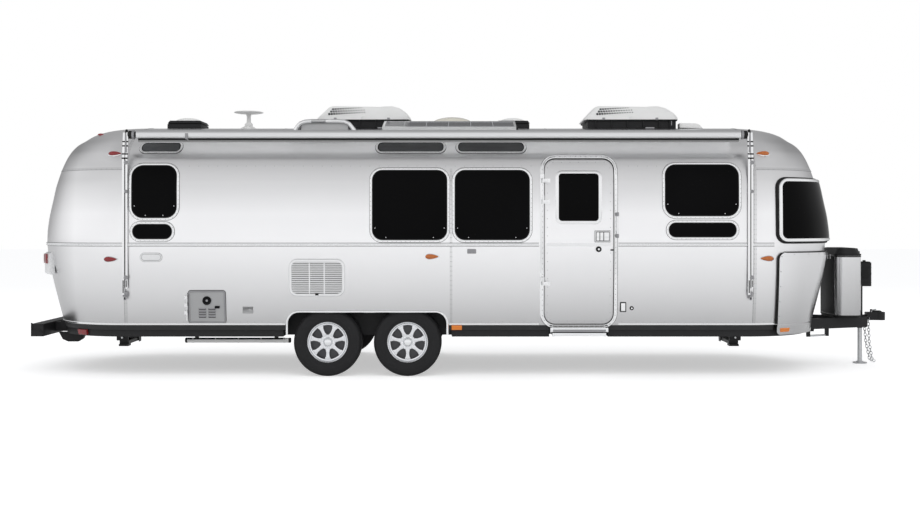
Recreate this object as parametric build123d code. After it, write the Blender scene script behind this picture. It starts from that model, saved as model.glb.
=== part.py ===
"""Travel caravan: a riveted aluminium body on a two-axle steel frame.

Millimetres. +X points forward to the hitch, +Y to the trailer's left, +Z up. The
origin is on the ground under the middle of the whole trailer. Every piece is one
solid, or a set of like solids, and is written as parts/NODE.step.
"""
from build123d import *
import math
import os

os.makedirs("parts", exist_ok=True)

# ---------------------------------------------------------------- driving sizes
SEAT = 0.3                 # gap under a piece that is screwed or riveted down
RUNNING_GAP = 6            # gap between moving pieces and what stays still

# body shell
HALF_WIDTH = 1280          # widest, at the belt rail
BELT_Z = 1394
BODY_BOTTOM = 544
REAR_END = -4760           # middle of the rear end at the belt
FRONT_END = 4000
WALL = 50                  # skin, ribs, foam and lining
LOWER_TUCK = 60            # how far the sides come in at the bottom
LOWER_LEAN = 178           # how far the ends come in at the bottom
SHOULDER_RADIUS = 550
SHOULDER_Z = 2015          # height of the shoulder's centre
SHOULDER_END = 22          # degrees from vertical where the crown takes over
CORNER_SHARE = 0.70        # corner radius as a share of the half-width
END_ARC = 15               # degrees each side of the middle that the end arc spans
REAR_CAP_SEAM = -3636
FRONT_CAP_SEAM = 2984
SIDE_SEAM_X = -212
ROOF_SEAM_Z = 2213

# running gear
TYRE_RADIUS = 360
TYRE_WIDTH = 225
TYRE_OUTER_Y = 1214
RIM_RADIUS = 207
AXLE_MIDDLE_X = -1095
AXLE_SPACING = 846
SPINDLE_RADIUS = 19
SPINDLE_GAP = 0.05
AXLE_TUBE_RADIUS = 38
AXLE_TUBE_FORWARD = 150    # torsion tube ahead of the spindle
AXLE_TUBE_Z = 372
DRUM_RADIUS = 150

# under the floor
PAN_BOTTOM = 419
PAN_SHEET = 6
PAN_INSET = 34
RAIL_WIDTH = 60
RAIL_HALF_TRACK = 560      # from the middle to each main rail's middle
RAIL_REAR = -4540
RAIL_FRONT = 3420
FLOOR_THICKNESS = 60

# wheel arch
ARCH_REAR = -1936
ARCH_FRONT = -259
ARCH_TOP = 680
ARCH_CORNER = 120
ARCH_TRIM = 22
WELL_TOP = 870
WELL_MARGIN = 60           # well wider than the arch at each end
WELL_INNER_Y = 960
WELL_SHEET = 8
WELL_SKIN = 12              # skin left over a wheel well

# hitch
COUPLER_NOSE = 60          # radius of its round nose
COUPLER_TIP = 4800
FRAME_TOP = 541            # top of the A-frame rails
FRAME_DEPTH = 116
A_FRAME_REAR = 3340
A_FRAME_NOSE = 4560
BALL_RADIUS = 29.4         # socket for a 58.7 mm ball
JACK_X = 4510
JACK_LEG_RADIUS = 26
JACK_FOOT_RADIUS = 80


# ---------------------------------------------------------------- small helpers
def block(x0, x1, y0, y1, z0, z1):
    """Box between two corners."""
    box = Box(x1 - x0, y1 - y0, z1 - z0)
    return Pos((x0 + x1) / 2, (y0 + y1) / 2, (z0 + z1) / 2) * box


def side_prism(x0, x1, z0, z1, radius, y0, y1):
    """Rounded rectangle seen from the side, extruded across the trailer."""
    plane = Plane(origin=((x0 + x1) / 2, y0, (z0 + z1) / 2), x_dir=(1, 0, 0), z_dir=(0, 1, 0))
    return extrude(plane * RectangleRounded(x1 - x0, z1 - z0, radius), y1 - y0)


def end_prism(y0, y1, z0, z1, radius, x0, x1):
    """Rounded rectangle seen from the end, extruded along the trailer."""
    plane = Plane(origin=(x0, (y0 + y1) / 2, (z0 + z1) / 2), x_dir=(0, 1, 0), z_dir=(1, 0, 0))
    return extrude(plane * RectangleRounded(y1 - y0, z1 - z0, radius), x1 - x0)


def plan_prism(x0, x1, y0, y1, radius, z0, z1):
    """Rounded rectangle seen from above, extruded upwards."""
    plane = Plane(origin=((x0 + x1) / 2, (y0 + y1) / 2, z0))
    return extrude(plane * RectangleRounded(x1 - x0, y1 - y0, radius), z1 - z0)


def rod(start, end, radius):
    """Round bar between two points."""
    start = Vector(*start)
    along = Vector(*end) - start
    plane = Plane(origin=start, z_dir=along)
    return extrude(plane * Circle(radius), along.length)


def beam(start, end, width, depth):
    """Rectangular bar between two points; depth is its upright size."""
    start = Vector(*start)
    along = Vector(*end) - start
    across = Vector(0, 0, 1).cross(along)
    if across.length < 1e-6:
        across = Vector(0, 1, 0)
    plane = Plane(origin=start, x_dir=across, z_dir=along)
    return extrude(plane * Rectangle(width, depth), along.length)


def profile_x(points, x0, x1):
    """Polygon in the Y-Z plane extruded along X."""
    face = make_face(Polyline(*[(x0, y, z) for y, z in points], close=True))
    return extrude(face, x1 - x0, dir=(1, 0, 0))


def profile_y(points, y0, y1):
    """Polygon in the X-Z plane extruded along Y."""
    face = make_face(Polyline(*[(x, y0, z) for x, z in points], close=True))
    return extrude(face, y1 - y0, dir=(0, 1, 0))


def save(name, *shapes):
    """Write one node from the solids of one or more shapes."""
    solids = [solid for shape in shapes for solid in shape.solids()]
    export_step(solids[0] if len(solids) == 1 else Compound(solids), f"parts/{name}.step")
    return solids


# ---------------------------------------------------------------- body envelope
CROWN_RADIUS = SHOULDER_RADIUS + (HALF_WIDTH - SHOULDER_RADIUS) / math.sin(math.radians(SHOULDER_END))
CROWN_CENTRE_Z = SHOULDER_Z - (CROWN_RADIUS - SHOULDER_RADIUS) * math.cos(math.radians(SHOULDER_END))
ROOF_TOP = CROWN_CENTRE_Z + CROWN_RADIUS

# share of the height of the lower side, share of the ends' lean there
LOWER_LEVELS = [(0.0, 1.0), (0.30, 0.64), (0.65, 0.25), (1.0, 0.0)]
# share of the way from the belt up to the shoulder's centre, end recess
UPPER_LEVELS = [(0.42, 22), (0.75, 66), (1.0, 100)]
# angle up the shoulder arc, end recess
SHOULDER_LEVELS = [(12, 134), (24, 172), (36, 215), (47, 262), (58, 320), (68, 385)]
# angle left on the crown arc, end recess
CROWN_LEVELS = [(17.5, 470), (13, 590), (8.5, 760), (4, 1000)]


def side_point(level, inset):
    """Half-width and height of the envelope at a level, moved in by inset."""
    kind, value = level
    if kind == "lower":
        height = BODY_BOTTOM + value * (BELT_Z - BODY_BOTTOM)
        return HALF_WIDTH - LOWER_TUCK * (1 - value) ** 2 - inset, height
    if kind == "upper":
        return HALF_WIDTH - inset, BELT_Z + value * (SHOULDER_Z - BELT_Z)
    if kind == "shoulder":
        angle = math.radians(value)
        reach = SHOULDER_RADIUS - inset
        centre = HALF_WIDTH - SHOULDER_RADIUS
        return centre + reach * math.cos(angle), SHOULDER_Z + reach * math.sin(angle)
    angle = math.radians(value)
    reach = CROWN_RADIUS - inset
    return reach * math.sin(angle), CROWN_CENTRE_Z + reach * math.cos(angle)


def plan_face(half_width, rear, front, height):
    """Plan outline: straight sides, round corners and shallow round ends."""
    corner = CORNER_SHARE * half_width
    sweep = 90 - END_ARC
    rise = math.sin(math.radians(END_ARC))
    end_radius = corner + (half_width - corner) / rise
    pull = (end_radius - corner) * math.cos(math.radians(END_ARC))
    corner_y = half_width - corner
    front_centre = front - end_radius
    rear_centre = rear + end_radius
    front_x = front_centre + pull
    rear_x = rear_centre - pull
    edges = [
        Line((rear_x, -half_width), (front_x, -half_width)),
        CenterArc((front_x, -corner_y), corner, -90, sweep),
        CenterArc((front_centre, 0), end_radius, -END_ARC, 2 * END_ARC),
        CenterArc((front_x, corner_y), corner, END_ARC, sweep),
        Line((front_x, half_width), (rear_x, half_width)),
        CenterArc((rear_x, corner_y), corner, 90, sweep),
        CenterArc((rear_centre, 0), end_radius, 180 - END_ARC, 2 * END_ARC),
        CenterArc((rear_x, -corner_y), corner, 180 + END_ARC, sweep),
    ]
    return Pos(0, 0, height) * make_face(edges)


def envelope(inset):
    """Solid inside the body's outer skin, moved in by inset all round."""
    levels = [("lower", share, LOWER_LEAN * lean) for share, lean in LOWER_LEVELS]
    levels += [("upper", share, recess) for share, recess in UPPER_LEVELS]
    levels += [("shoulder", angle, recess) for angle, recess in SHOULDER_LEVELS]
    levels += [("crown", angle, recess) for angle, recess in CROWN_LEVELS]
    sections = []
    for kind, value, recess in levels:
        half_width, height = side_point((kind, value), inset)
        back = REAR_END + recess + inset
        nose = FRONT_END - recess - inset
        sections.append(plan_face(half_width, back, nose, height))
    return loft(sections, ruled=True)


_layers = {}


def skin(inset):
    """Envelope at an inset, made once."""
    if inset not in _layers:
        _layers[inset] = envelope(inset)
    return _layers[inset]


def layer(region, outer, inner):
    """The part of a region between two depths below the skin (negative is proud)."""
    return (region & skin(outer)) - skin(inner)


# ---------------------------------------------------------------- openings in the shell
# name, rear X, front X, bottom Z, top Z, corner radius
SIDE_WINDOWS = [
    ("rear", -3573, -3087, 1670, 2233, 120),
    ("rear_low", -3563, -3137, 1448, 1615, 80),
    ("main_rear", -1046, -248, 1438, 2182, 110),
    ("main_front", -178, 619, 1438, 2182, 110),
    ("front", 2029, 2815, 1689, 2241, 120),
    ("front_low", 2069, 2790, 1467, 1630, 78),
    ("rear_high", -3509, -3091, 2374, 2479, 50),
    ("main_rear_high", -998, -289, 2374, 2483, 50),
    ("main_front_high", -142, 567, 2374, 2483, 50),
]
WINDOW_FRAME = 22          # width of the bright frame round each pane
FRAME_PROUD = 9
GLASS_DEPTH = 8
GLASS_PROUD = 2
FRAME_LAP = 4              # frame over the edge of its pane
PANE_GAP = 1
OUTSIDE_Y = -1500          # plane well outside the body
FAR = 6000                 # beyond either end
WIDE = 2000                # beyond either side
HIGH = 3000                # above the roof
SIDE_CUT_Y = -400          # how far in a cut through a side wall goes
DOOR_CUT_Y = -900

# front panoramic glass
FRONT_GLASS_BOTTOM = 1425
FRONT_GLASS_TOP = 2085
FRONT_GLASS_REAR = 3225
FRONT_MULLION_Y = 520
FRONT_MULLION = 70
FRONT_PROUD = 46
FRONT_GASKET = 30
FRONT_CORNER = 90
FRONT_DEPTH = 14           # how far the glass reaches into the wall
FRONT_RIM = 4              # frame proud of the glass

# rear window
REAR_WINDOW_HALF = 560
REAR_WINDOW_BOTTOM = 1480
REAR_WINDOW_TOP = 2060
REAR_WINDOW_CORNER = 90
REAR_WINDOW_DEEP = REAR_END + 400   # how far the cut for it goes in

# entrance door
DOOR_REAR = 771
DOOR_FRONT = 1493
DOOR_BOTTOM = 558
DOOR_TOP = 2292
DOOR_CORNER = 110
DOOR_FRAME = 42            # outer frame round the opening
HINGE_OUT = 27             # hinge axis outboard of the skin
HINGE_BARREL = 11
HINGE_PIN = 5
HINGE_BACK = 16            # hinge axis behind the door's rear edge
HINGE_X = DOOR_REAR - HINGE_BACK
HINGE_Y = -(HALF_WIDTH + HINGE_OUT)
DOOR_GLASS = (914, 1342, 1638, 2145, 40)
DOOR_THICKNESS = 42
HINGE_HEIGHTS = (1010, 1868, 2090)
HINGE_LEAF = 42            # height of each half of a hinge
HINGE_PLATE = 5            # half its thickness
HINGE_FIT = 0.05
HANDLE_CASE = (1300, 1457, 1423, 1538)
HANDLE_PROUD = 34
LOCK_X = 1338
LOCK_Z = 1346
LOCK_RADIUS = 30
LOCK_PROUD = 20
GRAB_X = 1530
GRAB_OUT = 50
GRAB_ENDS = (1470, 1730)
GRAB_POSTS = (1480, 1720)
GRAB_RADIUS = 11

# heater hatch in the right side
HATCH_REAR = -2977
HATCH_FRONT = -2585
HATCH_BOTTOM = 566
HATCH_TOP = 911
HATCH_CORNER = 30
HATCH_HINGE_Y = -1274
HATCH_HINGE_X = HATCH_REAR - 12
HATCH_THICKNESS = 24
HATCH_HINGES = (620, 700, 780)
HATCH_LEAF = 38
HATCH_BARREL = 8
HATCH_PIN = 4
HATCH_PLATE = 3            # half the thickness of a hinge plate
VENT_GRILLE = (-1916, -1328, 851, 1243, 40)
VENT_PROUD = 16


def window_region(window, grow, right=True):
    """Prism through one side wall for a window row, grown all round."""
    name, rear, front, bottom, top, radius = window
    near, far = (OUTSIDE_Y, SIDE_CUT_Y) if right else (-SIDE_CUT_Y, -OUTSIDE_Y)
    return side_prism(rear - grow, front + grow, bottom - grow, top + grow, radius + grow, near, far)


def door_region(grow, depth=DOOR_CUT_Y):
    """Prism through the right wall for the door leaf, grown all round."""
    return side_prism(
        DOOR_REAR - grow, DOOR_FRONT + grow, DOOR_BOTTOM - grow, DOOR_TOP + grow,
        DOOR_CORNER + grow, OUTSIDE_Y, depth)


def arch_region(grow, right=True):
    """Prism through one side wall for the wheel opening, open at the bottom."""
    near, far = (OUTSIDE_Y, -WELL_INNER_Y) if right else (WELL_INNER_Y, -OUTSIDE_Y)
    return side_prism(
        ARCH_REAR - grow, ARCH_FRONT + grow, 0, ARCH_TOP + grow,
        ARCH_CORNER + grow, near, far)


def hatch_region(grow):
    """Prism through the right wall for the heater hatch."""
    return side_prism(
        HATCH_REAR - grow, HATCH_FRONT + grow, HATCH_BOTTOM - grow, HATCH_TOP + grow,
        HATCH_CORNER + grow, OUTSIDE_Y, DOOR_CUT_Y)


def front_region(grow):
    """Region of the wrap-round front glass, with round rear corners."""
    return side_prism(
        FRONT_GLASS_REAR - grow, 2 * FRONT_END, FRONT_GLASS_BOTTOM - grow, FRONT_GLASS_TOP + grow,
        FRONT_CORNER + grow, OUTSIDE_Y, -OUTSIDE_Y)


def rear_window_region(grow):
    """Prism through the rear end for the window, grown all round."""
    return end_prism(
        -REAR_WINDOW_HALF - grow, REAR_WINDOW_HALF + grow, REAR_WINDOW_BOTTOM - grow,
        REAR_WINDOW_TOP + grow, REAR_WINDOW_CORNER + grow, -FAR, REAR_WINDOW_DEEP)


def well_box(grow, right=True):
    """Box of one wheel well, from under the pan to its roof."""
    near, far = (OUTSIDE_Y, -WELL_INNER_Y + grow) if right else (WELL_INNER_Y - grow, -OUTSIDE_Y)
    margin = WELL_MARGIN + grow
    return block(ARCH_REAR - margin, ARCH_FRONT + margin, near, far, 0, WELL_TOP + grow)


# ---------------------------------------------------------------- shell panels
shell = skin(0) - skin(WALL)
wall_holes = [window_region(window, PANE_GAP, right) for window in SIDE_WINDOWS for right in (True, False)]
wall_holes += [door_region(RUNNING_GAP), hatch_region(RUNNING_GAP), arch_region(0), arch_region(0, False)]

# name, rear X, front X, inner Y, outer Y, bottom Z, top Z
PANELS = [
    ("cap_rear", -FAR, REAR_CAP_SEAM, -WIDE, WIDE, 0, HIGH),
    ("cap_front", FRONT_CAP_SEAM, FAR, -WIDE, WIDE, 0, HIGH),
    ("roof", REAR_CAP_SEAM, FRONT_CAP_SEAM, -WIDE, WIDE, ROOF_SEAM_Z, HIGH),
    ("side_left", REAR_CAP_SEAM, FRONT_CAP_SEAM, 0, WIDE, 0, ROOF_SEAM_Z),
    ("side_right_rear", REAR_CAP_SEAM, SIDE_SEAM_X, -WIDE, 0, 0, ROOF_SEAM_Z),
    ("side_right_front", SIDE_SEAM_X, FRONT_CAP_SEAM, -WIDE, 0, 0, ROOF_SEAM_Z),
]
for name, *corners in PANELS:
    panel = shell & block(*corners)
    if name == "cap_rear":
        panel -= rear_window_region(0)
    elif name == "cap_front":
        panel -= front_region(0)
    else:
        for hole in wall_holes:
            panel -= hole
        if name != "roof":
            panel -= well_box(SEAT, name.startswith("side_right")) & skin(WELL_SKIN)
    save(name, panel)

# ---------------------------------------------------------------- windows
glass = []
frames = []
for window in SIDE_WINDOWS:
    for right in (True, False):
        glass.append(layer(window_region(window, 0, right), -GLASS_PROUD, GLASS_DEPTH))
        ring = window_region(window, WINDOW_FRAME, right) - window_region(window, -FRAME_LAP, right)
        frames.append(layer(ring, -FRAME_PROUD, -GLASS_PROUD - SEAT))
save("side_glass", *glass)
save("side_frames", *frames)

mullions = [block(FRONT_CAP_SEAM, FAR, y - FRONT_MULLION / 2, y + FRONT_MULLION / 2, 0, HIGH)
            for y in (-FRONT_MULLION_Y, FRONT_MULLION_Y)]
front_panes = layer(front_region(-FRONT_GASKET), -FRONT_PROUD, FRONT_DEPTH)
front_ring = front_region(-SEAT) - front_region(-FRONT_GASKET + SEAT)
front_surround = layer(front_ring, -FRONT_PROUD - FRONT_RIM, FRONT_DEPTH)
for mullion in mullions:
    front_panes -= mullion
    bar = mullion & front_region(-FRONT_GASKET + 2)
    front_surround += layer(bar, -FRONT_PROUD - FRONT_RIM, FRONT_DEPTH)


rear_pane = layer(rear_window_region(-PANE_GAP), -GLASS_PROUD, GLASS_DEPTH)
save("end_glass", front_panes, rear_pane)
rear_ring = rear_window_region(WINDOW_FRAME) - rear_window_region(-FRAME_LAP - 2)
save("end_frames", front_surround, layer(rear_ring, -FRAME_PROUD, -GLASS_PROUD - SEAT))

# ---------------------------------------------------------------- door
door_swing = math.hypot(DOOR_FRONT - HINGE_X, HINGE_OUT)
swing_cylinder = Pos(HINGE_X, HINGE_Y, 0) * Cylinder(door_swing, 3 * ROOF_TOP)
door_leaf = layer(door_region(0), 0, DOOR_THICKNESS) & swing_cylinder
door_leaf -= side_prism(*DOOR_GLASS, OUTSIDE_Y, DOOR_CUT_Y)
plate_rear = HINGE_Y - HINGE_PLATE
plate_front = HINGE_Y + HINGE_PLATE
for height in HINGE_HEIGHTS:
    low = height - HINGE_LEAF - 3
    high = height - 3
    door_leaf += block(HINGE_X, DOOR_REAR + 30, plate_rear, plate_front, low, high)
    door_leaf += block(DOOR_REAR + 4, DOOR_REAR + 30, plate_rear, -HALF_WIDTH + DOOR_THICKNESS - 2, low, high)
    door_leaf += Pos(HINGE_X, HINGE_Y, (low + high) / 2) * Cylinder(HINGE_BARREL, HINGE_LEAF)
for height in HINGE_HEIGHTS:
    pin_hole = Cylinder(HINGE_PIN + HINGE_FIT, 1.5 * HINGE_LEAF)
    door_leaf -= Pos(HINGE_X, HINGE_Y, height - HINGE_LEAF / 2) * pin_hole
save("door_panel", door_leaf)
x0, x1, z0, z1, radius = DOOR_GLASS
door_pane = side_prism(x0 + SEAT, x1 - SEAT, z0 + SEAT, z1 - SEAT, radius, OUTSIDE_Y, DOOR_CUT_Y)
save("door_glass", layer(door_pane, 4, 14))
x0, x1, z0, z1 = HANDLE_CASE
handle_case = block(x0, x1, -HALF_WIDTH - HANDLE_PROUD, -HALF_WIDTH - SEAT, z0, z1)
lock_middle = -HALF_WIDTH - LOCK_PROUD / 2 - SEAT
lock = Pos(LOCK_X, lock_middle, LOCK_Z) * Rot(90, 0, 0) * Cylinder(LOCK_RADIUS, LOCK_PROUD)
save("door_handle", handle_case, lock)

door_rim = side_prism(
    DOOR_REAR - RUNNING_GAP - DOOR_FRAME, DOOR_FRONT + RUNNING_GAP + DOOR_FRAME - 8,
    DOOR_BOTTOM - 22, DOOR_TOP + 26, DOOR_CORNER + 30, OUTSIDE_Y, DOOR_CUT_Y)
frame_ring = layer(door_rim - door_region(RUNNING_GAP), -10, -SEAT)
for height in HINGE_HEIGHTS:
    high = height + HINGE_LEAF
    pin = Pos(HINGE_X, HINGE_Y, height) * Cylinder(HINGE_PIN, 2 * HINGE_LEAF + 4)
    knuckle = Pos(HINGE_X, HINGE_Y, (height + high) / 2) * Cylinder(HINGE_BARREL, HINGE_LEAF)
    leaf_plate = block(HINGE_X - 30, HINGE_X, plate_rear, plate_front, height, high)
    foot = block(HINGE_X - 30, HINGE_X - 16, HINGE_Y, -HALF_WIDTH + 30, height, high) - skin(-SEAT)
    frame_ring = frame_ring + pin + knuckle + leaf_plate + foot
grab_y = -HALF_WIDTH - GRAB_OUT
grab = rod((GRAB_X, grab_y, GRAB_ENDS[0]), (GRAB_X, grab_y, GRAB_ENDS[1]), GRAB_RADIUS)
for z in GRAB_POSTS:
    grab += rod((GRAB_X, grab_y, z), (GRAB_X, -HALF_WIDTH - 10 - SEAT, z), GRAB_RADIUS)

# ---------------------------------------------------------------- heater hatch and vent
hatch_swing = math.hypot(HATCH_FRONT - HATCH_HINGE_X, 14)
hatch_axis = Pos(HATCH_HINGE_X, HATCH_HINGE_Y, (HATCH_BOTTOM + HATCH_TOP) / 2)
hatch = layer(hatch_region(0), 0, HATCH_THICKNESS) & (hatch_axis * Cylinder(hatch_swing, HIGH))
hatch_hinge = hatch_axis * Cylinder(HATCH_PIN, 290)
plate_rear = HATCH_HINGE_Y - HATCH_PLATE
plate_front = HATCH_HINGE_Y + HATCH_PLATE
for low in HATCH_HINGES:
    high = low + HATCH_LEAF
    hatch += block(HATCH_HINGE_X, HATCH_REAR + 26, plate_rear, plate_front, low, high)
    hatch += block(HATCH_REAR + 4, HATCH_REAR + 26, plate_rear, HATCH_HINGE_Y + 60, low, high)
    hatch += Pos(HATCH_HINGE_X, HATCH_HINGE_Y, (low + high) / 2) * Cylinder(HATCH_BARREL, HATCH_LEAF)
    fixed = high + 3
    above = fixed + HATCH_LEAF - 2
    knuckle = Cylinder(HATCH_BARREL, above - fixed)
    hatch_hinge += Pos(HATCH_HINGE_X, HATCH_HINGE_Y, (fixed + above) / 2) * knuckle
    hatch_hinge += block(HATCH_HINGE_X - 24, HATCH_HINGE_X, plate_rear, plate_front, fixed, above)
    foot = block(HATCH_HINGE_X - 24, HATCH_HINGE_X - 12, plate_rear, -1200, fixed, above)
    hatch_hinge += foot - skin(-SEAT)
hatch -= hatch_axis * Cylinder(HATCH_PIN + HINGE_FIT, 310)
save("heater_hatch", hatch)
save("door_frame", frame_ring, grab, hatch_hinge)
save("vent_grille", layer(side_prism(*VENT_GRILLE, OUTSIDE_Y, DOOR_CUT_Y), -VENT_PROUD, -SEAT))

# ---------------------------------------------------------------- trim
TRIM_PROUD = 14
BELT_HALF = 14             # half the height of the belt rail
TRIM_FOOT = 440            # where the wheel-arch trim ends
TRACK_BOTTOM = 2512
TRACK_TOP = 2534
AWNING_REAR = -3540
AWNING_FRONT = 2850
belt = layer(block(-FAR, FAR, -WIDE, WIDE, BELT_Z - BELT_HALF, BELT_Z + BELT_HALF), -TRIM_PROUD, -SEAT)
belt -= block(DOOR_REAR - 60, DOOR_FRONT + 52, -WIDE, 0, 0, HIGH)
belt -= block(FRONT_GLASS_REAR - 40, FAR, -WIDE, WIDE, 0, HIGH)
save("belt_rail", belt)
arch_strips = []
for right in (True, False):
    strip = arch_region(ARCH_TRIM, right) - arch_region(0, right)
    strip -= block(-FAR, FAR, -WIDE, WIDE, 0, TRIM_FOOT)
    arch_strips.append(layer(strip, -TRIM_PROUD, -SEAT))
save("arch_trims", *arch_strips)
awning_track = layer(block(AWNING_REAR, AWNING_FRONT, -WIDE, 0, TRACK_BOTTOM, TRACK_TOP), -TRIM_PROUD, -SEAT)


# ---------------------------------------------------------------- under the body
def bottom_slab(inset, top, bottom):
    """The body's plan outline at its bottom edge, inset, between two heights."""
    slice_of_body = skin(inset) & block(-FAR, FAR, -WIDE, WIDE, BODY_BOTTOM, BODY_BOTTOM + 1)
    plan = slice_of_body.faces().sort_by(Axis.Z)[0]
    return Pos(0, 0, top - BODY_BOTTOM) * extrude(plan, top - bottom, dir=(0, 0, -1))


STEP_REAR = 836
STEP_FRONT = 1438
STEP_POCKET_Y = -880
POCKET_GAP = 10
PAN_TOP = BODY_BOTTOM
CROSS_WIDTH = 50
CROSS_DEPTH = 80
FULL_CROSSES = (-4200, -3300, -2400, 100, 700, 1600, 2500, 3200)
SHORT_CROSSES = (-1800, -1095, -400)

pan_outer = bottom_slab(PAN_INSET, PAN_TOP, PAN_BOTTOM)
pan_room = bottom_slab(PAN_INSET + PAN_SHEET, PAN_TOP, PAN_BOTTOM + PAN_SHEET)
wells = []
for right in (True, False):
    liner = well_box(0, right) - well_box(-WELL_SHEET, right)
    upper = liner & skin(WELL_SKIN + SEAT)
    lower = liner & pan_outer
    wells.append(upper + lower)
pocket_rear = STEP_REAR - POCKET_GAP
pocket_front = STEP_FRONT + POCKET_GAP
step_pocket = block(pocket_rear, pocket_front, -WIDE, STEP_POCKET_Y, 0, PAN_TOP + POCKET_GAP)

# rails, and between and outside them the cross-members
rail_floor = PAN_BOTTOM + PAN_SHEET
cross_floor = PAN_TOP - CROSS_DEPTH
rail_inner = RAIL_HALF_TRACK - RAIL_WIDTH / 2
rail_outer = RAIL_HALF_TRACK + RAIL_WIDTH / 2
rails = []
for side in (-1, 1):
    middle = side * RAIL_HALF_TRACK
    rails.append(block(
        RAIL_REAR, RAIL_FRONT, middle - RAIL_WIDTH / 2, middle + RAIL_WIDTH / 2, rail_floor, PAN_TOP))
crosses = []
for x in FULL_CROSSES + SHORT_CROSSES:
    crosses.append(block(x, x + CROSS_WIDTH, SEAT - rail_inner, rail_inner - SEAT, cross_floor, PAN_TOP))
for x in FULL_CROSSES:
    outer = block(x, x + CROSS_WIDTH, -WIDE, -rail_outer - SEAT, cross_floor, PAN_TOP)
    crosses.append(outer & pan_room)
    crosses.append(mirror(outer, about=Plane.XZ) & pan_room)
save("frame_rails", *rails, *crosses)

A_NOSE_Y = 62
A_BEAM = 50
a_parts = []
for side in (-1, 1):
    a_parts.append(beam(
        (A_FRAME_REAR, side * RAIL_HALF_TRACK, FRAME_TOP - FRAME_DEPTH / 2),
        (A_FRAME_NOSE, side * A_NOSE_Y, FRAME_TOP - FRAME_DEPTH / 2), A_BEAM, FRAME_DEPTH))
a_frame = a_parts[0] + a_parts[1]
a_frame -= block(0, RAIL_FRONT, -WIDE, WIDE, 0, HIGH)
TRAY_TOP = FRAME_TOP + 6
JACK_TUBE = 31
a_frame += block(4140, 4420, -250, 250, FRAME_TOP, TRAY_TOP)
a_frame += block(4430, 4590, -95, 95, FRAME_TOP, TRAY_TOP)
a_frame -= Pos(JACK_X, 0, FRAME_TOP) * Cylinder(JACK_TUBE + SEAT, 300)
save("a_frame", a_frame)

# pan sheets, cut round the A-frame, the rails, the wells and the step
frame_slots = [block(RAIL_FRONT - 1, FAR, -rail_outer - 30, rail_outer + 30, rail_floor, HIGH)]
for side in (-1, 1):
    middle = side * RAIL_HALF_TRACK
    reach = RAIL_WIDTH / 2 + SEAT
    frame_slots.append(block(-FAR, RAIL_REAR + 200, middle - reach, middle + reach, rail_floor, HIGH))
pan = pan_outer - pan_room - step_pocket
for right in (True, False):
    pan -= well_box(SEAT, right)
for slot in frame_slots:
    pan -= slot
pan_joints = (
    ARCH_REAR - WELL_MARGIN - 40, ARCH_FRONT + WELL_MARGIN + 40, pocket_rear - 20, pocket_front + 20)
for x in pan_joints:
    pan -= block(x, x + SEAT, -WIDE, WIDE, 0, HIGH)
save("belly_pan", pan, *wells)

deck = skin(WALL + 1) & block(-FAR, FAR, -WIDE, WIDE, BODY_BOTTOM, BODY_BOTTOM + FLOOR_THICKNESS)
for right in (True, False):
    deck -= well_box(SEAT, right)
save("floor_deck", deck)

# ---------------------------------------------------------------- wheels and axles
tyre_middle = TYRE_OUTER_Y - TYRE_WIDTH / 2
half = TYRE_WIDTH / 2
BEAD = RIM_RADIUS + SEAT
LIP = RIM_RADIUS + 9
tyre_profile = [
    (BEAD, -79), (LIP, -79), (LIP, -95), (RIM_RADIUS + 38, -106), (RIM_RADIUS + 88, -half),
    (TYRE_RADIUS - 22, -99), (TYRE_RADIUS, -82),
    (TYRE_RADIUS, 82), (TYRE_RADIUS - 22, 99),
    (RIM_RADIUS + 88, half), (RIM_RADIUS + 38, 106), (LIP, 95), (LIP, 79), (BEAD, 79)]
tyre_face = make_face(Polyline(*[(r, a, 0) for r, a in tyre_profile], close=True))
tyre = revolve(tyre_face, Axis.Y)
BARREL = 16
rim_profile = [
    (RIM_RADIUS + 8, -92), (RIM_RADIUS + 8, -84), (RIM_RADIUS, -80), (RIM_RADIUS, 80), (RIM_RADIUS + 8, 84),
    (RIM_RADIUS + 8, 92), (RIM_RADIUS - BARREL + 4, 92), (RIM_RADIUS - BARREL, 80),
    (RIM_RADIUS - BARREL, -80), (RIM_RADIUS - BARREL + 4, -92)]
rim_face = make_face(Polyline(*[(r, a, 0) for r, a in rim_profile], close=True))
rim_body = revolve(rim_face, Axis.Y)
HUB_RADIUS = 72
HUB_DEPTH = 60
HUB_MIDDLE = -46
CAP_RADIUS = 34
CAP_DEPTH = 20
CAP_MIDDLE = -84
FACE_OUT = -78
FACE_IN = -50
face_disc = Rot(90, 0, 0) * Cylinder(RIM_RADIUS - BARREL + 2, FACE_IN - FACE_OUT)
face_disc = Pos(0, (FACE_OUT + FACE_IN) / 2, 0) * face_disc
SPOKES = 7
SPOKE_WINDOW = [(-52, 178), (52, 178), (22, 92), (-22, 92)]     # across, out from the hub
for turn in range(SPOKES):
    angle = 360 / SPOKES * turn
    window_face = make_face(Polyline(*SPOKE_WINDOW, close=True))
    window_cut = extrude(Plane(origin=(0, -200, 0), x_dir=(1, 0, 0), z_dir=(0, -1, 0)) * window_face, -400)
    face_disc -= Rot(0, angle, 0) * window_cut
hub = Pos(0, HUB_MIDDLE, 0) * Rot(90, 0, 0) * Cylinder(HUB_RADIUS, HUB_DEPTH)
hub += Pos(0, CAP_MIDDLE, 0) * Rot(90, 0, 0) * Cylinder(CAP_RADIUS, CAP_DEPTH)
SPINDLE_END = -70
rim_body = rim_body + face_disc + hub
spindle_hole = Rot(90, 0, 0) * Cylinder(SPINDLE_RADIUS + SPINDLE_GAP, 200)
rim_body -= Pos(0, SPINDLE_END + 100 - SPINDLE_GAP, 0) * spindle_hole

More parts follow.
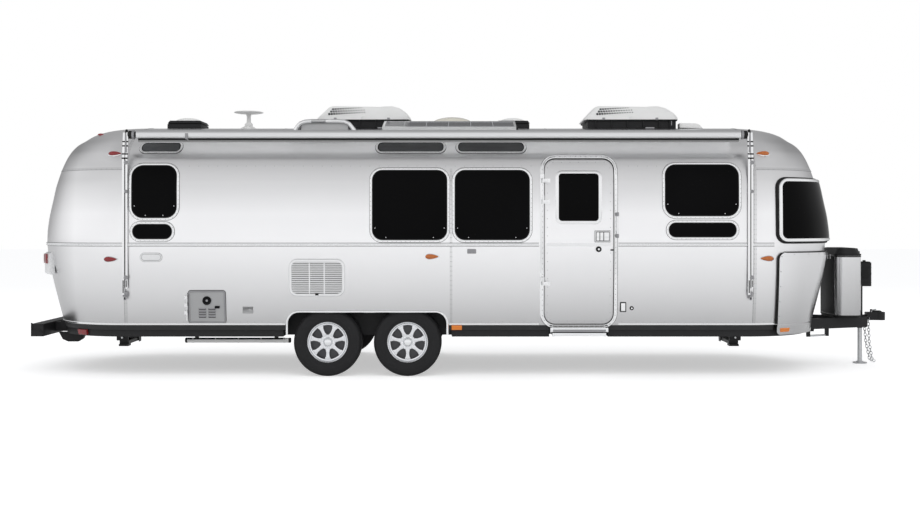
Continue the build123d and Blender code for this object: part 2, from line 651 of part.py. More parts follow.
axles = []
for name, offset_x in (("front", AXLE_SPACING / 2), ("rear", -AXLE_SPACING / 2)):
    wheel_x = AXLE_MIDDLE_X + offset_x
    for side, label in ((-1, "right"), (1, "left")):
        place = Pos(wheel_x, side * tyre_middle, TYRE_RADIUS)
        if side == 1:
            place = place * Rot(0, 0, 180)
        save(f"tyre_{name}_{label}", place * tyre)
        save(f"rim_{name}_{label}", place * rim_body)
    tube_x = wheel_x + AXLE_TUBE_FORWARD
    arm_y = tyre_middle - 12
    axle = rod((tube_x, -arm_y + 60, AXLE_TUBE_Z), (tube_x, arm_y - 60, AXLE_TUBE_Z), AXLE_TUBE_RADIUS)
    for side in (-1, 1):
        drum = Rot(90, 0, 0) * Cylinder(DRUM_RADIUS, 56)
        drum = Pos(wheel_x, side * (tyre_middle - 25), TYRE_RADIUS) * drum
        spindle = rod((wheel_x, side * (tyre_middle - 40), TYRE_RADIUS),
                      (wheel_x, side * (tyre_middle - SPINDLE_END - 3), TYRE_RADIUS), SPINDLE_RADIUS)
        arm = beam((wheel_x - 30, side * (tyre_middle - 72), TYRE_RADIUS),
                   (tube_x + 30, side * (tyre_middle - 72), AXLE_TUBE_Z), 38, 70)
        saddle = block(tube_x - 60, tube_x + 60, side * RAIL_HALF_TRACK - 40, side * RAIL_HALF_TRACK + 40,
                       AXLE_TUBE_Z - 20, PAN_BOTTOM)
        axle = axle + drum + spindle + arm + saddle
    axles.append(axle)
save("axles", *axles)

# ---------------------------------------------------------------- hitch, jack, gas
COUPLER_HALF = 45
COUPLER_BOTTOM = 500
COUPLER_TOP = 592
COUPLER_FLANGE = 14
HEAD_REAR = 4580
LATCH_X = 4640
LATCH_TOP = 625
LATCH_RADIUS = 12
NOSE_X = COUPLER_TIP - COUPLER_NOSE
coupler = block(HEAD_REAR - 8, HEAD_REAR + 20, -50, 50, TRAY_TOP, TRAY_TOP + COUPLER_FLANGE)
coupler += block(HEAD_REAR, NOSE_X, -COUPLER_HALF, COUPLER_HALF, COUPLER_BOTTOM, COUPLER_TOP)
coupler_height = COUPLER_TOP - COUPLER_BOTTOM
coupler += Pos(NOSE_X, 0, COUPLER_BOTTOM + coupler_height / 2) * Cylinder(COUPLER_NOSE, coupler_height)
BALL_X = NOSE_X - 2
BALL_Z = COUPLER_BOTTOM + 50
socket = Pos(BALL_X, 0, COUPLER_BOTTOM + 20) * Cylinder(BALL_RADIUS, 60)
socket += Pos(BALL_X, 0, BALL_Z) * Sphere(BALL_RADIUS)
coupler -= socket
coupler -= block(HEAD_REAR - 180, HEAD_REAR + 15, -200, 200, 0, TRAY_TOP)
coupler += rod((LATCH_X, 0, COUPLER_TOP - 2), (LATCH_X, 0, LATCH_TOP), LATCH_RADIUS)
save("coupler", coupler)

JACK_BORE = JACK_LEG_RADIUS + 0.1
JACK_BOTTOM = 410
JACK_HEAD_BOTTOM = 893
JACK_HEAD_TOP = 1165
JACK_HEAD_HALF = 78
JACK_FLANGE = 55           # radius of the flange bolted to the frame
FOOT_SHEET = 12
FOOT_SOCKET = 40           # radius of the cup that the leg stands in
bore_depth = 600
jack = rod((JACK_X, 0, JACK_BOTTOM), (JACK_X, 0, JACK_HEAD_BOTTOM + 7), JACK_TUBE)
jack += rod((JACK_X, 0, TRAY_TOP), (JACK_X, 0, TRAY_TOP + COUPLER_FLANGE), JACK_FLANGE)
jack += plan_prism(
    JACK_X - 48, JACK_X + 118, -JACK_HEAD_HALF, JACK_HEAD_HALF, 34, JACK_HEAD_BOTTOM, JACK_HEAD_TOP)
jack -= Pos(JACK_X, 0, JACK_HEAD_BOTTOM - 3 - bore_depth / 2) * Cylinder(JACK_BORE, bore_depth)
save("jack_body", jack)
jack_leg = rod((JACK_X, 0, FOOT_SHEET - 4), (JACK_X, 0, 500), JACK_LEG_RADIUS)
jack_leg += Pos(JACK_X, 0, FOOT_SHEET / 2) * Cylinder(JACK_FOOT_RADIUS, FOOT_SHEET)
jack_leg += Pos(JACK_X, 0, FOOT_SHEET + 5) * Cylinder(FOOT_SOCKET, 14)
save("jack_leg", jack_leg)

GAS_REAR = 4136
GAS_FRONT = 4436
GAS_HALF = 350
GAS_SHEET = 4
COVER_BOTTOM = 568
COVER_TOP = 1249
LID_TOP = 1334
GAS_CORNER = 110
cover = plan_prism(GAS_REAR, GAS_FRONT, -GAS_HALF, GAS_HALF, GAS_CORNER, COVER_BOTTOM, COVER_TOP)
cover -= plan_prism(GAS_REAR + GAS_SHEET, GAS_FRONT - GAS_SHEET, -GAS_HALF + GAS_SHEET,
                    GAS_HALF - GAS_SHEET, GAS_CORNER - GAS_SHEET, COVER_BOTTOM - 10, COVER_TOP + 10)
LID_HINGE_X = GAS_REAR - 10
LID_HINGE_Z = COVER_TOP + 6
for y in (-150, -60, 60, 150):
    cover += block(LID_HINGE_X - 6, GAS_REAR + 2, y - 8, y + 8, COVER_TOP - 40, LID_HINGE_Z + 6)
    cover -= block(GAS_REAR - 4, GAS_REAR + 2, y - 8, y + 8, COVER_TOP, LID_HINGE_Z + 10)
for y in (-105, 105):
    cover += rod((LID_HINGE_X, y - 53, LID_HINGE_Z), (LID_HINGE_X, y + 53, LID_HINGE_Z), 4)
save("gas_cover", cover)
BOTTLE_Y = 160
BOTTLE_RADIUS = 138
BOTTLE_SHOULDER = 1060
COLLAR_RADIUS = 60
COLLAR_TOP = 1160
bottles = []
centre_x = (GAS_REAR + GAS_FRONT) / 2
for side in (-1, 1):
    y = side * BOTTLE_Y
    bottle = rod((centre_x, y, TRAY_TOP), (centre_x, y, BOTTLE_SHOULDER), BOTTLE_RADIUS)
    bottle += rod((centre_x, y, BOTTLE_SHOULDER), (centre_x, y, COLLAR_TOP), COLLAR_RADIUS)
    bottles.append(bottle)
base_ring = plan_prism(GAS_REAR, GAS_FRONT, -GAS_HALF, GAS_HALF, GAS_CORNER, TRAY_TOP, COVER_BOTTOM)
for side in (-1, 1):
    base_ring -= Pos(centre_x, side * BOTTLE_Y, TRAY_TOP) * Cylinder(BOTTLE_RADIUS + SEAT, 100)
bottles.append(base_ring)
save("gas_bottles", *bottles)
lid_base = Plane(origin=(centre_x, 0, COVER_TOP + SEAT))
lid_crest = Plane(origin=(centre_x, 0, LID_TOP))
lid_length = GAS_FRONT - GAS_REAR
LID_BEVEL = 70             # how much smaller the crest is than the foot
LID_WALL = 5
LID_SHEET = 6
crest_in = LID_BEVEL + 2 * LID_SHEET
lid_outer = loft([
    lid_base * RectangleRounded(lid_length, 2 * GAS_HALF, GAS_CORNER),
    lid_crest * RectangleRounded(lid_length - LID_BEVEL, 2 * GAS_HALF - LID_BEVEL, 80)])
lid_inner = loft([
    lid_base * RectangleRounded(lid_length - 2 * LID_WALL, 2 * GAS_HALF - 2 * LID_WALL, GAS_CORNER - LID_WALL),
    Pos(0, 0, -LID_SHEET) * lid_crest
    * RectangleRounded(lid_length - crest_in, 2 * GAS_HALF - crest_in, 74)])
gas_lid = lid_outer - lid_inner
for y in (-105, 105):
    gas_lid += rod((LID_HINGE_X, y - 32, LID_HINGE_Z), (LID_HINGE_X, y + 32, LID_HINGE_Z), 6)
    gas_lid += block(LID_HINGE_X, GAS_REAR + 4, y - 30, y + 30, LID_HINGE_Z, LID_HINGE_Z + 6)
    gas_lid -= rod((LID_HINGE_X, y - 60, LID_HINGE_Z), (LID_HINGE_X, y + 60, LID_HINGE_Z), 4.05)
save("gas_lid", gas_lid)

CHAIN_RADIUS = 6
CHAIN_EYE = (4582, 74, FRAME_TOP - SEAT)
CHAIN_BEND = (4600, 60, 240)
CHAIN_END = (4640, 45, 30)
chains = []
for side in (-1, 1):
    eye, bend, end = ((x, side * y, z) for x, y, z in (CHAIN_EYE, CHAIN_BEND, CHAIN_END))
    chain = rod(eye, bend, CHAIN_RADIUS)
    chain += rod(bend, end, CHAIN_RADIUS)
    chains.append(chain + Pos(*bend) * Sphere(CHAIN_RADIUS))
save("safety_chains", *chains)

# ---------------------------------------------------------------- bumper and guards
BUMPER_REAR = -4732
BUMPER_FRONT = -4600
BUMPER_HALF = 975
BUMPER_BOTTOM = 402
BUMPER_TOP = 536
bumper = block(BUMPER_REAR, BUMPER_FRONT, -BUMPER_HALF, BUMPER_HALF, BUMPER_BOTTOM, BUMPER_TOP)
for side in (-1, 1):
    middle = side * RAIL_HALF_TRACK
    bumper += block(
        BUMPER_FRONT - 10, RAIL_REAR, middle - 30, middle + 30, PAN_BOTTOM + PAN_SHEET + 2, BUMPER_TOP - 6)
under_body = block(-FAR, RAIL_REAR - 5, -WIDE, WIDE, BUMPER_TOP + 1, 1000)
bumper -= bottom_slab(PAN_INSET - 1, 1000, 0) & under_body
save("bumper", bumper)
SKID = [(-4543, 419), (-4500, 340), (-4440, 314), (-4330, 314), (-4280, 345), (-4243, 419)]
skids = []
for side in (-1, 1):
    middle = side * (RAIL_HALF_TRACK + 60)
    skids.append(profile_y(SKID, middle - 30, middle + 30))

GUARD_PROUD = 30
GUARD_TOP = 1315
GUARD_FOOT = 456           # bottom of the band below the skin
GUARD_REAR = 3222
GUARD_INNER_Y = 430
guards = []
for right in (True, False):
    y0, y1 = (-WIDE, -GUARD_INNER_Y) if right else (GUARD_INNER_Y, WIDE)
    zone = block(GUARD_REAR, FAR, y0, y1, BODY_BOTTOM, GUARD_TOP)
    guard = layer(zone, -GUARD_PROUD, -SEAT)
    band = bottom_slab(-GUARD_PROUD + 6, BODY_BOTTOM, GUARD_FOOT) - bottom_slab(-6, 2 * BODY_BOTTOM, 0)
    guards.append(guard + (band & block(GUARD_REAR, FAR, y0, y1, GUARD_FOOT, BODY_BOTTOM)))
save("stone_guards", *guards)

# ---------------------------------------------------------------- lamps
LAMP_PROUD = 30
TAIL_LIGHT = (700, 930, 1070, 1310, 40)     # inner Y, outer Y, bottom Z, top Z, corner radius
MARKER_LENGTH = 140
MARKER_HEIGHT = 56
inner_y, outer_y, lamp_bottom, lamp_top, lamp_corner = TAIL_LIGHT
lamps = []
for side in (-1, 1):
    near, far = (-outer_y, -inner_y) if side == -1 else (inner_y, outer_y)
    room = end_prism(near, far, lamp_bottom, lamp_top, lamp_corner, -FAR, -4300)
    lamps.append(layer(room, -LAMP_PROUD, -SEAT))
# rear X, bottom Z of each side marker
MARKERS = [(-3865, 1224), (-480, 1240), (3030, 1250), (-3838, 2345), (2985, 2350)]
for x, z in MARKERS:
    for right in (True, False):
        near, far = (OUTSIDE_Y, -600) if right else (600, -OUTSIDE_Y)
        room = side_prism(x, x + MARKER_LENGTH, z, z + MARKER_HEIGHT, MARKER_HEIGHT / 2 - 2, near, far)
        lamps.append(layer(room, -LAMP_PROUD, -SEAT))
save("lamps", *lamps)

# ---------------------------------------------------------------- roof equipment
def seated(shape):
    """Cut a roof piece to the curve it stands on."""
    return shape - skin(-SEAT)


AC_BASE_TOP = 2790
AC_REARS = (-1740, 1288)
AC_PROFILE = [(0, 0), (55, 130), (175, 168), (850, 150), (1010, 66), (1062, 0)]   # forward, up
AC_END = [(-350, 0), (-350, 40), (-270, 200), (270, 200), (350, 40), (350, 0)]    # across, up
AC_BASE_HALF = 300
ac_bases = []
ac_covers = []
for rear in AC_REARS:
    base = plan_prism(rear + 90, rear + 960, -AC_BASE_HALF, AC_BASE_HALF, 60, 2640, AC_BASE_TOP)
    ac_bases.append(seated(base))
    side_view = profile_y([(rear + x, AC_BASE_TOP + z) for x, z in AC_PROFILE], -400, 400)
    end_view = profile_x([(y, AC_BASE_TOP + z) for y, z in AC_END], rear - 100, rear + 1200)
    ac_covers.append(side_view & end_view)
save("ac_covers", *ac_covers)

VENTS = [("rear", -3458, -3069, 195), ("front", 296, 674, 190)]
vent_bases = []
LID_SEAT_Z = 2752
LID_RIM_TOP = LID_SEAT_Z + 40
LID_DOME_TOP = LID_SEAT_Z + 72
VENT_WALL = 30
LID_HINGE_BACK = 8
LID_HINGE_UP = 14
LID_PIN = 5
for name, rear, front, half_y in VENTS:
    base = plan_prism(rear, front, -half_y, half_y, VENT_WALL, 2600, LID_SEAT_Z)
    base -= plan_prism(
        rear + VENT_WALL, front - VENT_WALL, -half_y + VENT_WALL, half_y - VENT_WALL, 20, 2500, 3000)
    pin_x = rear - LID_HINGE_BACK
    pin_z = LID_SEAT_Z + LID_HINGE_UP
    base += rod((pin_x, -80, pin_z), (pin_x, 80, pin_z), LID_PIN)
    for y in (-90, 76):
        base += block(rear - 16, rear, y, y + 14, LID_SEAT_Z - 20, LID_SEAT_Z)
        base += block(rear - 16, rear - 4, y, y + 14, LID_SEAT_Z - 1, pin_z)
        base += rod((pin_x, y, pin_z), (pin_x, y + 14, pin_z), 8)
    vent_bases.append(seated(base))
    lid = plan_prism(rear + 2, front + 6, -half_y - 6, half_y + 6, 34, LID_SEAT_Z + 6, LID_RIM_TOP)
    middle_x = (rear + front) / 2 + 4
    length = front - rear
    rim_plane = Plane(origin=(middle_x, 0, LID_RIM_TOP))
    dome_plane = Plane(origin=(middle_x, 0, LID_DOME_TOP))
    lid += loft([
        rim_plane * RectangleRounded(length - 20, 2 * half_y - 20, 40),
        dome_plane * RectangleRounded(length - 150, 2 * half_y - 150, 40)])
    lid += rod((pin_x, -60, pin_z), (pin_x, 60, pin_z), LID_PIN + 4)
    lid += block(pin_x, rear + 20, -60, 60, pin_z - 4, pin_z + 9)
    lid -= Pos(pin_x, 0, pin_z) * Rot(90, 0, 0) * Cylinder(LID_PIN + HINGE_FIT, 200)
    save(f"vent_lid_{name}", lid)
SKYLIGHT_X = -208
SKYLIGHT_BASE_TOP = 2750
SKYLIGHT_DOME = [(2750, 520, 570), (2800, 480, 520), (2845, 260, 300)]      # Z, length, width
skylight_base = plan_prism(SKYLIGHT_X - 273, SKYLIGHT_X + 273, -300, 300, 70, 2600, SKYLIGHT_BASE_TOP)
skylight_base = seated(skylight_base)
VENT_PIPE_CAP = (2450, 2620, -290, -150)
vent_cap = seated(plan_prism(*VENT_PIPE_CAP, 40, 2500, 2750))
save("roof_bases", *ac_bases, *vent_bases, skylight_base, vent_cap)
dome_faces = [
    Plane(origin=(SKYLIGHT_X, 0, z)) * RectangleRounded(length, width, 90)
    for z, length, width in SKYLIGHT_DOME]
save("skylight", loft(dome_faces, ruled=True))
ANTENNA_X = -2563
ANTENNA_RADIUS = 168
ANTENNA_TOP = 2920
ANTENNA_SHEET = 30
antenna = Pos(ANTENNA_X, 0, ANTENNA_TOP - ANTENNA_SHEET / 2) * Cylinder(ANTENNA_RADIUS, ANTENNA_SHEET)
antenna += rod((ANTENNA_X, 0, 2640), (ANTENNA_X, 0, ANTENNA_TOP - 25), 26)
antenna += Pos(ANTENNA_X, 0, 2710) * Cylinder(80, 40)
save("antenna", seated(antenna))
COVER_BOX = (-1917, -1255, -900, -600)      # rear X, front X, outer Y, inner Y
save("roof_cover", seated(plan_prism(*COVER_BOX, 60, 2400, 2740)))
SOLAR_MIDDLE = (-234, 610, 2700)
SOLAR_SIZE = (1464, 420, 36)
SOLAR_TILT = 13.5
SOLAR_FOOT = 40
solar = []
for side in (-1, 1):
    panel = Rot(side * -SOLAR_TILT, 0, 0) * Box(*SOLAR_SIZE)
    panel = Pos(SOLAR_MIDDLE[0], side * SOLAR_MIDDLE[1], SOLAR_MIDDLE[2]) * panel
    for x in (-900, 420):
        for y in (770, 480):
            panel += Pos(x, side * y, 2630) * Box(SOLAR_FOOT, SOLAR_FOOT, 120)
    solar.append(seated(panel))
save("solar_panels", *solar)

# ---------------------------------------------------------------- awning
ROLLER_Y = -1255
ROLLER_Z = 2545
ROLLER_RADIUS = 45
ROLLER_REAR = -3516
ROLLER_FRONT = 2830
FLAP_Y = -945              # where the canvas meets its track
roller = rod((ROLLER_REAR, ROLLER_Y, ROLLER_Z), (ROLLER_FRONT, ROLLER_Y, ROLLER_Z), ROLLER_RADIUS)
flap = [(ROLLER_Y + 15, ROLLER_Z + 36), (ROLLER_Y + 20, ROLLER_Z + 42),
        (FLAP_Y, TRACK_TOP + 7), (FLAP_Y, TRACK_TOP + SEAT)]
roller += profile_x(flap, ROLLER_REAR + 20, ROLLER_FRONT - 20)
save("awning_roller", roller)
ARM_Y = -1312
ARM_WIDTH = 56
ARM_SHEET = 16
ARM_BOTTOM = 845
ARM_ELBOW = 2300
ARM_BRACKETS = [(-1190, 850, 900), (-1200, 1980, 2040)]      # inner Y, bottom Z, top Z
arms = []
for arm_x, end_x in ((-3630, ROLLER_REAR - SEAT), (2928, ROLLER_FRONT + SEAT)):
    x0, x1 = arm_x - ARM_WIDTH / 2, arm_x + ARM_WIDTH / 2
    arm = block(x0, x1, ARM_Y, ARM_Y + ARM_SHEET, ARM_BOTTOM, ARM_ELBOW)
    head = [
        (ARM_Y, ARM_ELBOW), (ARM_Y + ARM_SHEET, ARM_ELBOW),
        (ROLLER_Y + 30, ROLLER_Z + 30), (ROLLER_Y - 20, ROLLER_Z + 40)]
    arm += profile_x(head, x0, x1)
    for inner_y, low, high in ARM_BRACKETS:
        arm += block(x0, x1, ARM_Y + ARM_SHEET, inner_y, low, high) - skin(-SEAT)
    arm += rod((arm_x, ROLLER_Y, ROLLER_Z), (end_x, ROLLER_Y, ROLLER_Z), ROLLER_RADIUS / 2 - 0.5)
    arms.append(arm)
save("awning_arms", *arms, awning_track)

# ---------------------------------------------------------------- entry step
CHEEK = 6
PIVOT_Y = -1190
PIVOT_Z = 498
TREAD_PIN_Y = -1010
TREAD_PIN_Z = 445
PIN_RADIUS = 8
STEP_OUTER_Y = -1262
CHEEK_INNER_Y = -900
CHEEK_BOTTOM = 474
CHEEK_TOP = 536
FASCIA_TOP = 517
bracket = block(STEP_REAR, STEP_FRONT, -1170, -890, CHEEK_TOP, BODY_BOTTOM)
for x in (STEP_REAR, STEP_FRONT - CHEEK):
    bracket += block(x, x + CHEEK, STEP_OUTER_Y, CHEEK_INNER_Y, CHEEK_BOTTOM, CHEEK_TOP)
bracket += block(STEP_REAR, STEP_FRONT, STEP_OUTER_Y, STEP_OUTER_Y + 12, CHEEK_BOTTOM, FASCIA_TOP)
bracket -= rod((STEP_REAR - 50, PIVOT_Y, PIVOT_Z), (STEP_FRONT + 50, PIVOT_Y, PIVOT_Z), PIN_RADIUS + 0.05)
save("step_bracket", bracket)
ARM_GAP = 5                # arm clear of the cheek and of the tread
PIN_REACH = 25             # how far each pin goes into the tread
arm_outer = CHEEK + ARM_GAP
arm_faces = [
    (STEP_REAR + arm_outer, STEP_REAR + arm_outer + CHEEK),
    (STEP_FRONT - arm_outer - CHEEK, STEP_FRONT - arm_outer)]
step_arms = rod((STEP_REAR, PIVOT_Y, PIVOT_Z), (STEP_FRONT, PIVOT_Y, PIVOT_Z), PIN_RADIUS)
tread_rear = arm_faces[0][1] + ARM_GAP
tread_front = arm_faces[1][0] - ARM_GAP
for x0, x1 in arm_faces:
    middle = (x0 + x1) / 2
    link = beam((middle, PIVOT_Y, PIVOT_Z), (middle, TREAD_PIN_Y, TREAD_PIN_Z), CHEEK, 26)
    link = link + rod((x0, PIVOT_Y, PIVOT_Z), (x1, PIVOT_Y, PIVOT_Z), 16)
    link = link + rod((x0, TREAD_PIN_Y, TREAD_PIN_Z), (x1, TREAD_PIN_Y, TREAD_PIN_Z), 14)
    step_arms += link
pins = [(arm_faces[0][0], tread_rear + PIN_REACH), (tread_front - PIN_REACH, arm_faces[1][1])]
for x0, x1 in pins:
    step_arms += rod((x0, TREAD_PIN_Y, TREAD_PIN_Z), (x1, TREAD_PIN_Y, TREAD_PIN_Z), PIN_RADIUS)
save("step_arms", step_arms)
tread = block(tread_rear, tread_front, -1258, -994, 428, 462)
holes = [(tread_rear - 5, tread_rear + PIN_REACH + 1), (tread_front - PIN_REACH - 1, tread_front + 5)]
for x0, x1 in holes:
    tread -= rod((x0, TREAD_PIN_Y, TREAD_PIN_Z), (x1, TREAD_PIN_Y, TREAD_PIN_Z), PIN_RADIUS + HINGE_FIT)
save("step_tread", tread)

# ---------------------------------------------------------------- stabilisers
def y_span(side, inner, outer):
    """Two distances out from the middle as a low and a high Y."""
    return (-outer, -inner) if side == -1 else (inner, outer)


LEG_PIVOT_Z = 335
LEG_PIVOT_Y = 500
channels = []
for place, x in (("rear", -3743), ("front", 2835)):
    for side, label in ((-1, "right"), (1, "left")):
        channel = block(x - 62, x + 62, *y_span(side, 470, 1000), 395, PAN_BOTTOM)
        for x0 in (x - 62, x + 56):
            channel += block(x0, x0 + 6, *y_span(side, 470, 560), 305, 395)
        channel += block(x - 62, x + 62, *y_span(side, 985, 1000), 360, 395)
        pivot = (LEG_PIVOT_Y * side, LEG_PIVOT_Z)
        channel -= rod((x - 100, *pivot), (x + 100, *pivot), 10.05)
        channels.append(channel)
        leg = block(x - 50, x + 50, *y_span(side, 480, 930), 317, 353)
        leg += block(x - 50, x + 50, *y_span(side, 850, 960), 295, 317)
        leg += rod((x - 62, *pivot), (x + 62, *pivot), 10)
        save(f"stabiliser_{place}_{label}", leg)
save("stabiliser_channels", *channels)
carrier = rod((-3030, -1050, 372), (-1990, -1050, 372), 24)
for x in (-2950, -2100):
    carrier += block(x, x + 40, -1062, -1038, 380, PAN_BOTTOM)
save("under_gear", carrier, *skids)
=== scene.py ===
import math
import bmesh
import bpy
from mathutils import Matrix, Vector


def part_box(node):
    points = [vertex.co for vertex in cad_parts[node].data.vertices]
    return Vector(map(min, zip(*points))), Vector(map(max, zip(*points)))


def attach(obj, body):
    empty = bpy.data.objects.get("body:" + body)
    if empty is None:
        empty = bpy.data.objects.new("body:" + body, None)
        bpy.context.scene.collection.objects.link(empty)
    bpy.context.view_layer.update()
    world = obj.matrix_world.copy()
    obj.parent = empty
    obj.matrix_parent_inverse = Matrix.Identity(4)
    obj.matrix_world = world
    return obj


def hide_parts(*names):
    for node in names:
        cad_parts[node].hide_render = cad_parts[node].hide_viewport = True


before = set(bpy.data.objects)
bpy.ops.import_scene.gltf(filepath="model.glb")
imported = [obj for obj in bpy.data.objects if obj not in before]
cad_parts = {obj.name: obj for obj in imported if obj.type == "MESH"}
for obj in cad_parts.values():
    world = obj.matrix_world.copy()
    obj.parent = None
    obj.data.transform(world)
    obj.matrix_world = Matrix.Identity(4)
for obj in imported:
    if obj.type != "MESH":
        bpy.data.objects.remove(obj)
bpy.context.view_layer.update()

# ---------------- chassis
# Welded steel frame: two long rails, cross-members and an A-frame that runs forward
# to the coupler, sprayed with satin black chassis paint.


class Flow:
    """A shader socket that can be added, multiplied and compared."""

    def __init__(self, nodes, socket):
        self.nodes = nodes
        self.socket = socket

    def join(self, other, operation):
        """One Math node on this value and another."""
        return self.nodes.node("ShaderNodeMath", {"operation": operation}, {0: self, 1: other})

    def __add__(self, other):
        return self.join(other, "ADD")

    def __sub__(self, other):
        return self.join(other, "SUBTRACT")

    def __mul__(self, other):
        return self.join(other, "MULTIPLY")

    def __gt__(self, other):
        return self.join(other, "GREATER_THAN")


class Nodes:
    """A node tree that grows node by node."""

    def __init__(self, tree):
        self.tree = tree

    def node(self, kind, settings=None, inputs=None, out=0):
        """Add a node, give it its settings, then its values and links."""
        made = self.tree.nodes.new(kind)
        for key, value in (settings or {}).items():
            setattr(made, key, value)
        for key, value in (inputs or {}).items():
            if isinstance(value, Flow):
                self.tree.links.new(value.socket, made.inputs[key])
            else:
                made.inputs[key].default_value = value
        return Flow(self, made.outputs[out]) if made.outputs else None

    def ramp(self, value, stops):
        """Colour ramp over a value; each stop is a place and a grey level or a colour."""
        made = self.node("ShaderNodeValToRGB", {}, {0: value})
        elements = made.socket.node.color_ramp.elements
        while len(elements) < len(stops):
            elements.new(0.5)
        for element, (place, shade) in zip(elements, stops):
            element.position = place
            element.color = (*shade, 1) if isinstance(shade, tuple) else (shade, shade, shade, 1)
        return made

    def times(self, first, second, share=1.0):
        """Product of two colours, or a share of the way to it."""
        return self.node(
            "ShaderNodeMix", {"data_type": "RGBA", "blend_type": "MULTIPLY"},
            {0: share, 6: first, 7: second}, out=2)


class Finish(Nodes):
    """One material: a Principled shader, the nodes that feed it and the slot it is usually filed under."""

    def __init__(self, name, colour, rough, metal=0.0, slot=None, **constants):
        self.material = bpy.data.materials.new(name)
        self.material.use_nodes = True
        super().__init__(self.material.node_tree)
        self.slot = slot
        self.shader = self.tree.nodes["Principled BSDF"]
        self.shader.inputs["Base Color"].default_value = (*colour, 1)
        self.shader.inputs["Roughness"].default_value = rough
        self.shader.inputs["Metallic"].default_value = metal
        for socket, value in constants.items():
            self.shader.inputs[socket.replace("_", " ")].default_value = value
        self.place = self.node("ShaderNodeTexCoord", out="Object")

    def axis(self, index):
        """One coordinate of the piece's own place: 0, 1 or 2 for X, Y or Z."""
        return self.node("ShaderNodeSeparateXYZ", {}, {0: self.place}, out=index)

    def noise(self, scale, detail=3, stretch=(1, 1, 1)):
        """Noise on the piece's own coordinates, stretched along chosen axes."""
        spread = self.node("ShaderNodeMapping", {"vector_type": "POINT"}, {0: self.place, 3: stretch})
        return self.node("ShaderNodeTexNoise", {}, {"Vector": spread, "Scale": scale, "Detail": detail})

    def blend(self, share, low, high):
        """Colour between two colours."""
        return self.node(
            "ShaderNodeMix", {"data_type": "RGBA"}, {0: share, 6: (*low, 1), 7: (*high, 1)}, out=2)

    def mottle(self, scale, low, high):
        """Let the base colour drift in clouds between two colours."""
        self.feed("Base Color", self.blend(self.noise(scale, 2), low, high))

    def bump(self, height, strength, distance):
        """Feed the normal with a bump of the given height field."""
        inputs = {"Strength": strength, "Distance": distance, "Height": height}
        self.feed("Normal", self.node("ShaderNodeBump", {}, inputs))

    def feed(self, socket, flow):
        """Link a value to the shader."""
        self.tree.links.new(flow.socket, self.shader.inputs[socket])


GLOSS_SPREAD = 0.10        # how much the roughness of a painted finish drifts


def painted(name, colour, rough, metal=0.0, mottle=0.12, scale=9, grain=0.0004, grain_scale=900,
            stretch=(1, 1, 1), **constants):
    """Finish with gentle changes of shade and gloss and a fine surface grain."""
    finish = Finish(name, colour, rough, metal, **constants)
    cloud = finish.noise(scale, 4, stretch)
    dark = [max(0, channel * (1 - mottle)) for channel in colour]
    pale = [min(1, channel * (1 + mottle)) for channel in colour]
    finish.feed("Base Color", finish.blend(cloud, dark, pale))
    finish.feed("Roughness", cloud * GLOSS_SPREAD + (rough - GLOSS_SPREAD / 2))
    if grain:
        finish.bump(finish.noise(grain_scale, 2, stretch), 0.25, grain)
    return finish


def cad_finish(finish, *nodes):
    """Give CAD nodes a finish."""
    for node in nodes:
        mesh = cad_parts[node].data
        mesh.materials.clear()
        mesh.materials.append(finish.material)


def soft_edges(bm, edges, offset, segments=2):
    """Round edges over."""
    bmesh.ops.bevel(
        bm, geom=edges, offset=offset, segments=segments, profile=0.5, affect="EDGES", material=-1)


def slab(bm, x0, x1, y0, y1, z0, z1, soften=0.0, segments=2):
    """Box between two corners, its edges softened."""
    made = bmesh.ops.create_cube(bm, size=1)
    size = Matrix.Diagonal((x1 - x0, y1 - y0, z1 - z0, 1))
    middle = Matrix.Translation(((x0 + x1) / 2, (y0 + y1) / 2, (z0 + z1) / 2))
    bmesh.ops.transform(bm, matrix=middle @ size, verts=made["verts"])
    if soften:
        soft_edges(bm, list({edge for vert in made["verts"] for edge in vert.link_edges}), soften, segments)
    return made["verts"]


def bar(bm, start, end, radius, far_radius=None, sides=16):
    """Round bar, or a cone, between two points."""
    start, end = Vector(start), Vector(end)
    along = end - start
    turn = along.to_track_quat("Z", "Y").to_matrix().to_4x4()
    place = Matrix.Translation((start + end) / 2) @ turn
    bmesh.ops.create_cone(
        bm, cap_ends=True, segments=sides, radius1=radius, radius2=radius if far_radius is None
        else far_radius, depth=along.length, matrix=place)


def lathe(bm, profile, centre, axis, steps=48):
    """Closed profile of (radius, distance along) pairs spun about an axis."""
    centre, axis = Vector(centre), Vector(axis).normalized()
    out = axis.orthogonal().normalized()
    ring = [bm.verts.new(centre + out * radius + axis * along) for radius, along in profile]
    edges = [bm.edges.new((ring[i], ring[(i + 1) % len(ring)])) for i in range(len(ring))]
    bmesh.ops.spin(
        bm, geom=ring + edges, cent=centre, axis=axis, angle=2 * math.pi, steps=steps, use_merge=True)


def oblong(x0, x1, z0, z1):
    """Rectangular profile for a sweep, or for a disc or a band turned on a lathe."""
    return [(x0, z0), (x1, z0), (x1, z1), (x0, z1)]


def button(radius, shoulder, crown, height, foot=0.0):
    """Lathe profile of a disc whose face is bevelled from its shoulder to its crown."""
    return [(0.0, foot), (radius, foot), (radius, shoulder), (crown, height), (0.0, height)]


def plate(bm, points, shift):
    """Flat outline of 3-D points, extruded by a vector into a plate."""
    face = bm.faces.new([bm.verts.new(point) for point in points])
    extruded = bmesh.ops.extrude_face_region(bm, geom=[face])
    moved = [item for item in extruded["geom"] if isinstance(item, bmesh.types.BMVert)]
    bmesh.ops.translate(bm, verts=moved, vec=shift)


def add_object(name, data):
    """Put mesh, lamp or camera data into the scene."""
    made = bpy.data.objects.new(name, data)
    bpy.context.scene.collection.objects.link(made)
    return made


